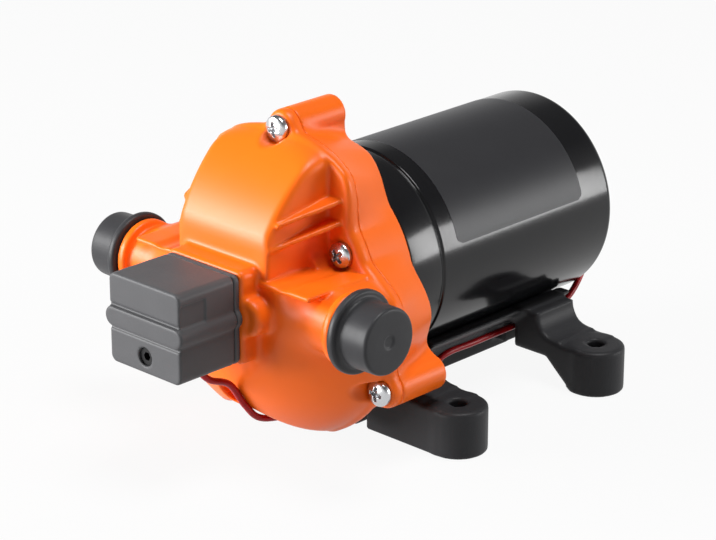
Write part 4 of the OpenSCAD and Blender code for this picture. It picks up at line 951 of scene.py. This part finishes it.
class PUMP_OT_lead(bpy.types.Operator):
    """Runs the red lead from the switch to the motor, through its two grommets"""

    bl_idname = "pump.lead"
    bl_label = "Lead"

    def execute(self, context):
        tube("red_lead", flowing(lead_route(), 6), LEAD_R, "wire", 16, stands_for=["switch_lead"],
             slot="red_wire")
        bore, neck, lip = LEAD_R + 0.1, 2.4, 3.6
        low, end = corner("lead_grommet", False, 2), corner("rear_grommet", True, 1)
        front = [(low + 4.9, bore), (low + 4.9, neck), (low + 1.4, neck), (low + 1.4, lip), (low, 3.5),
                 (low - 0.1, bore), (low + 4.9, bore)]
        rear = [(end - 7.4, bore), (end - 7.4, neck), (end - 1.2, neck), (end - 1.2, lip), (end - 0.2, 3.5),
                (end, bore), (end - 7.4, bore)]
        grommets = (("switch_lead_grommet", "lead_grommet", front, 2, (LEAD_X, Y_LEAD, 0)),
                    ("motor_lead_grommet", "rear_grommet", rear, 1, (LEAD_END_X, 0, LEAD_END_Z)))
        for name, node, profile, axis, centre in grommets:
            lathe(name, profile, axis, centre, "rubber", 0.4, 48, stands_for=[node], slot="black_rubber")
        return {"FINISHED"}


def sheet_field(x, y, z):
    """Diaphragm: a clamped sheet with a thinned roll and a bead round each piston."""
    z = z - AXIS_H
    edge = soft_max(chamber(x, z), between(y, Y_SPLIT + SKIN, Y_SPLIT + SHEET_T - SKIN), 0.8)
    ring = rods(x, z, CYLINDER_RING, THIRDS, PISTON_HOLE_R)
    roll = np.maximum(np.abs(ring - ROLL_OUT) - ROLL_HALF, Y_SPLIT + ROLL_T - y)
    return soft_max(soft_max(edge, -ring, 0.8), -roll, 0.5)


def seal_field(x, y, z):
    """Seal of the valve plate, open at the delivery, the suction and the three chambers."""
    z = z - AXIS_H
    thick = between(y, Y_SPLIT - CHAMBER_DEEP + SKIN, Y_SPLIT - PLATE_T - SKIN)
    body = soft_max(chamber(x, z), thick, 0.7)
    suction = slab(x - SUCTION_X, z, SUCTION_HALF_X, SUCTION_HALF_Z, 0.5)
    ways = rods(x, z, CYLINDER_RING, THIRDS, SEAL_OPEN_R)
    return soft_max(body, -join(np.hypot(x, z) - DELIVERY_R, suction, ways), 0.6)


def winding_field(x, y, z):
    """End turns of the armature: twelve bundles of wire lapped round the shaft at each end of the core."""
    z = z - AXIS_H
    turn = np.arctan2(x, z)
    out = np.hypot(x, z) - WINDING_MID
    shape = np.inf
    for low, high, lean in ((Y_SEAM + 5, Y_SEAM + 12.9, 1), (Y_SEAM + 49.1, Y_SEAM + 57, -1)):
        swell = 0.7 * np.cos(BUNDLES * turn + lean * 0.22 * out) - 0.7
        bundle = slab(out, y - (low + high) / 2, WINDING_HALF, (high - low) / 2, 3.2)
        shape = np.minimum(shape, bundle - swell)
    return shape


class PUMP_OT_inside(bpy.types.Operator):
    """Moulds the rubber pieces of the pump and winds the armature and the brush springs"""

    bl_idname = "pump.inside"
    bl_label = "Rubber and windings"

    def execute(self, context):
        step = context.scene.pump_sizes.fine_step / MM
        sheets = (("rubber_diaphragm", "diaphragm", sheet_field, Y_SPLIT - 0.8, Y_SPLIT + 3),
                  ("rubber_plate_seal", "plate_seal", seal_field, Y_SPLIT - 10.3, Y_SPLIT - 7))
        for name, node, field, front, rear in sheets:
            low, high = (-36.5, front, AXIS_H - 36.5), (36.5, rear, AXIS_H + 37)
            moulded(name, low, high, step, field, "rubber", stands_for=[node], slot="black_rubber")
        umbrella = [(-6.3, 0), (-6.3, 1.1), (-5.6, 1.6), (0, 1.55), (0.3, 3.0), (0.02, 7.4), (0.3, 8),
                    (0.6, 7.9), (1.0, 4), (1.0, 0)]
        one = outward(loose("umbrella", *turned(rounded(umbrella, 0.3), 1, sides=56), "silicone"))
        places = [(a, Y_SPLIT - 1.6, AXIS_H + b) for a, b in on_circle(CYLINDER_RING, THIRDS)]
        copies("suction_umbrellas", one, places, "silicone", stands_for=["inlet_valves"], slot="red_rubber")
        lathe("delivery_umbrella", [(-a, r) for a, r in umbrella], 1, (0, Y_SPLIT - 6.5, AXIS_H), "silicone",
              0.3, 56, stands_for=["outlet_valve"], slot="red_rubber")
        low, high = (-26, Y_SEAM + 3, AXIS_H - 26), (26, Y_SEAM + 59, AXIS_H + 26)
        moulded("wound_copper", low, high, 0.9, winding_field, "winding", body="rotor",
                stands_for=["windings"], slot="copper")
        near, stop = corner("brush_right", True, 0), corner("brush_springs", True, 0)
        turns = coil(1.8, stop - near - 0.9, 6)
        for side, name in ((1, "right"), (-1, "left")):
            wound = [(side * (near + 0.45 + a), Y_BRUSH + b, AXIS_H + c) for a, b, c in turns]
            spring = tube("brush_coil_" + name, wound, 0.35, "spring", 10, slot="zinc_screw",
                          stands_for=["brush_springs"])
            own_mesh(spring)
        return {"FINISHED"}


def length(name, description, default, low, high):
    """A size in millimetres that a user can change."""
    return bpy.props.FloatProperty(name=name, description=description, default=default * MM, min=low * MM,
                                   max=high * MM, unit="LENGTH", precision=5)


def tint(name, description, default):
    """A colour that a user can change."""
    return bpy.props.FloatVectorProperty(name=name, description=description, subtype="COLOR", size=3,
                                         min=0, max=1, default=linear(default))


class PumpSizes(bpy.types.PropertyGroup):
    """Sizes that a user would change"""

    head_step: length("Head step", "Lattice step of the moulded head", 0.8, 0.5, 2)
    base_step: length("Base step", "Lattice step of the moulded base", 0.9, 0.5, 2)
    fine_step: length("Fine step", "Lattice step of the small moulded pieces", 0.5, 0.3, 1)
    screw_step: length("Screw step", "Lattice step of the screws", 0.24, 0.15, 0.5)
    thread_pitch: length("Thread pitch", "Pitch of the half inch port thread", 1.814, 1, 3)
    film_lift: length("Film thickness", "Thickness of the bare label film", 0.1, 0.05, 0.4)


class PumpColours(bpy.types.PropertyGroup):
    """Colours that a user would change"""

    orange: tint("Head", "Colour of the moulded head", "#FA6C11")
    # The switch's colour is lighter than its black nylon: painted sheen for the reflection on its front face
    black: tint("Switch", "Colour of the moulded switch", "#4C4C4E")
    base: tint("Base", "Colour of the moulded base", "#2C2C2E")
    vinyl: tint("Caps", "Colour of the vinyl port caps", "#343436")
    enamel: tint("Motor", "Colour of the motor's enamel", "#151517")
    film: tint("Label film", "Colour of the bare label film", "#242427")
    wire: tint("Lead", "Colour of the lead", "#A80A14")


BY_SLOT = {"orange_housing": "orange", "black_moulding": "black", "black_cap": "vinyl",
           "motor_enamel": "enamel", "zinc_screw": "zinc", "bearing_steel": "steel", "dark_iron": "iron",
           "copper": "copper", "brass": "brass", "black_rubber": "rubber", "red_rubber": "silicone",
           "carbon": "carbon", "white_plastic": "acetal", "brown_board": "board", "red_wire": "wire",
           "alloy": "alloy"}
BY_NODE = {"adjusting_screw": "blackened", "hub_set_screw": "blackened", "magnets": "ferrite",
           "windings": "winding", "base_bracket": "base"}


class PUMP_OT_finishes(bpy.types.Operator):
    """Makes the materials and gives one to every solid"""

    bl_idname = "pump.finishes"
    bl_label = "Finishes"

    def execute(self, context):
        c = context.scene.pump_colours
        made = {
            # Glass filled nylon moulded in orange: a satin skin with soft flow clouds
            "orange": finish("orange moulded nylon", c.orange, 0.38, grit=0.6, depth=0.012, cloud=18,
                             spread=0.05, specular=0.3),
            # Black nylon of the switch: spark textured, its colour set lighter than the nylon's own black as
            # painted sheen for the grey reflection on its front face
            "black": finish("black moulded nylon with painted sheen", c.black, 0.5, grit=0.55, depth=0.03, specular=0.3),
            # Base moulding: darker and duller than the switch, so its arms stay quiet
            "base": finish("black glass filled nylon", c.base, 0.46, grit=0.8, depth=0.03, specular=0.18),
            # Dipped vinyl: smooth and soft, with slow waves from dripping
            "vinyl": finish("black dipped vinyl", c.vinyl, 0.42, grit=3.5, depth=0.04, spread=0.18,
                            specular=0.22),
            # Stoved enamel: deep black gloss with a faint orange peel
            "enamel": finish("gloss black enamel", c.enamel, 0.17, grit=2.6, depth=0.008, coat=0.1,
                             specular=0.3, rough_spread=0.03),
            # Bare film: satin charcoal, finely lined along the motor
            "film": finish("satin charcoal film", c.film, 0.42, grit=0.5, depth=0.004, specular=0.4,
                           bands=(0.35, "Y", 0.004)),
            # Zinc plate: bright with a slight grain
            "zinc": finish("zinc plated steel", linear("#C6C7C9"), 0.24, 1.0, grit=0.4, depth=0.006),
            # Drawn spring wire: a hard thin glint along each coil
            "spring": finish("drawn spring steel", linear("#A9ACB0"), 0.28, 1.0, grit=0.3, depth=0.004),
            # Blackened steel reads as a dark hole from the front
            "blackened": finish("blackened steel", linear("#1F1F20"), 0.45, 0.6, grit=0.4, depth=0.008),
            # Ground races, balls and shaft: almost a mirror, with a trace of the stone
            "steel": finish("ground bearing steel", linear("#AEB2B7"), 0.18, 1.0, grit=0.3, depth=0.003),
            # Stacked laminations show as fine rings along the core
            "iron": finish("laminated iron", linear("#5A5A5C"), 0.5, 0.8, grit=0.6, depth=0.02,
                           bands=(0.5, "Y", 0.06)),
            # Sintered magnets: dull and grainy
            "ferrite": finish("sintered ferrite", linear("#3C3C3E"), 0.62, grit=0.7, depth=0.05),
            # Turned commutator bars: warm and bright, with fine tool lines
            "copper": finish("turned copper", linear("#B8722F"), 0.28, 1.0, grit=0.4, depth=0.006,
                             bands=(0.3, "Y", 0.01)),
            # Lacquered wire lying in laps: brown gloss with a ridge for every strand
            "winding": finish("lacquered copper wire", linear("#9C4F22"), 0.34, 0.85, grit=0.6, depth=0.03,
                              bands=(0.7, "DIAGONAL", 0.25)),
            # Stamped terminals: yellow and clean, with a rolled grain
            "brass": finish("stamped brass", linear("#B08D3E"), 0.3, 1.0, grit=0.5, depth=0.006),
            # Moulded rubber: matt and finely pitted
            "rubber": finish("black moulded rubber", linear("#1B1B1C"), 0.65, grit=0.8, depth=0.03),
            # Silicone valves: dull brick red that light sinks into
            "silicone": finish("red silicone rubber", linear("#7D2F24"), 0.5, grit=0.8, depth=0.02),
            # Brushes: soft grey black with a powdery skin
            "carbon": finish("pressed carbon", linear("#3A3836"), 0.6, grit=0.3, depth=0.02),
            # Acetal mouldings: creamy white and faintly waxy
            "acetal": finish("white acetal", linear("#D8D5C8"), 0.4, grit=0.6, depth=0.01),
            # Brush card: brown board with the lines of its pressed layers
            "board": finish("brown pressed board", linear("#6B4A2A"), 0.6, grit=0.8, depth=0.03,
                            bands=(0.6, "X", 0.02)),
            # Vinyl insulation: drawn smooth, so a faint line of light runs along the lead
            "wire": finish("red vinyl wire", c.wire, 0.32, grit=1.5, depth=0.008, specular=0.22),
            # Die cast drive parts: pale grey with the frosted skin of the die
            "alloy": finish("die cast aluminium", linear("#8E949C"), 0.45, 1.0, grit=0.7, depth=0.03),
        }
        FINISH.update(made)
        slots = {s["node"]: s["material_slot"] for s in frame["record"]["subparts"]}
        for name, node in frame["nodes"].items():
            node.data.materials.clear()
            node.data.materials.append(FINISH[BY_NODE.get(name, BY_SLOT[slots[name]])])
        return {"FINISHED"}


def seen_by_eye(tree):
    """A factor that is 1 for rays that show the background: from the camera, a mirror or a clear piece."""
    path = put(tree, "ShaderNodeLightPath").outputs
    seen = path["Is Camera Ray"]
    for ray in ("Is Glossy Ray", "Is Transmission Ray"):
        seen = put(tree, "ShaderNodeMath", {"operation": "MAXIMUM"}, _0=seen, _1=path[ray]).outputs[0]
    return seen


def set_camera(scene):
    """The camera of the photograph."""
    camera = added("camera", bpy.data.cameras.new("camera"))
    camera.data.lens = 141.53
    camera.data.sensor_width = 36
    camera.data.sensor_fit = "HORIZONTAL"
    camera.data.clip_end = 20
    right, up, back = (0.7202, 0.6938, 0), (-0.2476, 0.2570, 0.9341), (0.6481, -0.6727, 0.3569)
    place = Matrix((right, up, back)).transposed().to_4x4()
    place.translation = Vector((0.6446, -0.6973, 0.4033))
    camera.matrix_world = place
    scene.camera = camera


def set_floor():
    """A white floor that keeps the pump's shadow."""
    mesh = bpy.data.meshes.new("floor")
    mesh.from_pydata([(-4, -4, 0), (4, -4, 0), (4, 4, 0), (-4, 4, 0)], [], [(0, 1, 2, 3)])
    added("floor", mesh)
    # Matt white that glows just enough, to the eye alone, to run into the backdrop
    look = bpy.data.materials.new("white studio floor")
    tree = bare_tree(look)
    matt = put(tree, "ShaderNodeBsdfDiffuse", Color=(0.55, 0.55, 0.55, 1)).outputs[0]
    glow = put(tree, "ShaderNodeEmission", Color=(1, 1, 1, 1), Strength=1.0).outputs[0]
    pale = put(tree, "ShaderNodeMixShader", _0=0.92, _1=matt, _2=glow).outputs[0]
    both = put(tree, "ShaderNodeMixShader", _0=seen_by_eye(tree), _1=matt, _2=pale)
    put(tree, "ShaderNodeOutputMaterial", Surface=both.outputs[0])
    mesh.materials.append(look)


def set_backdrop(scene):
    """A white backdrop that falls off to a dark ceiling."""
    scene.world = bpy.data.worlds.new("studio")
    tree = bare_tree(scene.world)
    place = put(tree, "ShaderNodeTexCoord").outputs["Generated"]
    height = put(tree, "ShaderNodeSeparateXYZ", Vector=place).outputs[2]
    fall = put(tree, "ShaderNodeMapRange", Value=height, From_Min=0.05, From_Max=0.6, To_Min=1.0,
               To_Max=0.12).outputs[0]
    level = put(tree, "ShaderNodeMapRange", Value=seen_by_eye(tree), To_Min=0.1, To_Max=1.0).outputs[0]
    power = put(tree, "ShaderNodeMath", {"operation": "MULTIPLY"}, _0=fall, _1=level)
    sky = put(tree, "ShaderNodeBackground", Color=(1, 1, 1, 1), Strength=power.outputs[0])
    put(tree, "ShaderNodeOutputWorld", Surface=sky.outputs[0])


# Lamps: name, place and aim in metres, width and height in metres, watts
LAMPS = (("key", (-0.82, -0.98, 0.44), (0, -0.08, 0.06), 0.6, 0.4, 22),
         ("top", (0.25, 0.05, 1.2), (0, 0, 0.05), 0.5, 0.5, 12),
         ("strip", (0.98, 0.92, 0.26), (0, 0.02, 0.06), 0.35, 0.5, 6.5),
         ("low", (-0.6, -1.15, 0.12), (0, -0.1, 0.06), 0.8, 0.22, 10))


class PUMP_OT_stage(bpy.types.Operator):
    """Sets the camera, the floor, the backdrop and the lamps"""

    bl_idname = "pump.stage"
    bl_label = "Stage"

    def execute(self, context):
        context.scene.view_settings.view_transform = "Standard"
        set_camera(context.scene)
        set_floor()
        set_backdrop(context.scene)
        for name, where, aim, width, height, watts in LAMPS:
            data = bpy.data.lights.new(name, "AREA")
            data.shape = "RECTANGLE"
            data.size, data.size_y, data.energy = width, height, watts
            lamp = added(name, data)
            lamp.location = where
            lamp.rotation_euler = (Vector(aim) - Vector(where)).to_track_quat("-Z", "Y").to_euler()
        return {"FINISHED"}


OPERATORS = (PUMP_OT_finishes, PUMP_OT_head, PUMP_OT_ports, PUMP_OT_screws, PUMP_OT_motor, PUMP_OT_switch,
             PUMP_OT_base, PUMP_OT_lead, PUMP_OT_inside, PUMP_OT_stage)


class PUMP_PT_panel(bpy.types.Panel):
    """Lists the pump's settings and operators"""

    bl_idname = "PUMP_PT_panel"
    bl_label = "Caravan water pump"
    bl_space_type = "VIEW_3D"
    bl_region_type = "UI"
    bl_category = "Pump"

    def draw(self, context):
        for group in (context.scene.pump_sizes, context.scene.pump_colours):
            for key in group.bl_rna.properties.keys():
                if key not in ("rna_type", "name"):
                    self.layout.prop(group, key)
        for operator in OPERATORS:
            self.layout.operator(operator.bl_idname)


CLASSES = (PumpSizes, PumpColours) + OPERATORS + (PUMP_PT_panel,)


def register():
    """Registers the classes and hangs the settings on the scene."""
    for made in CLASSES:
        bpy.utils.register_class(made)
    bpy.types.Scene.pump_sizes = bpy.props.PointerProperty(type=PumpSizes)
    bpy.types.Scene.pump_colours = bpy.props.PointerProperty(type=PumpColours)


def unregister():
    """Takes the settings and the classes away again."""
    del bpy.types.Scene.pump_sizes
    del bpy.types.Scene.pump_colours
    for made in reversed(CLASSES):
        bpy.utils.unregister_class(made)


def main():
    """Runs every operator in order."""
    register()
    for operator in OPERATORS:
        group, name = operator.bl_idname.split(".")
        getattr(getattr(bpy.ops, group), name)()


if __name__ == "__main__":
    main()
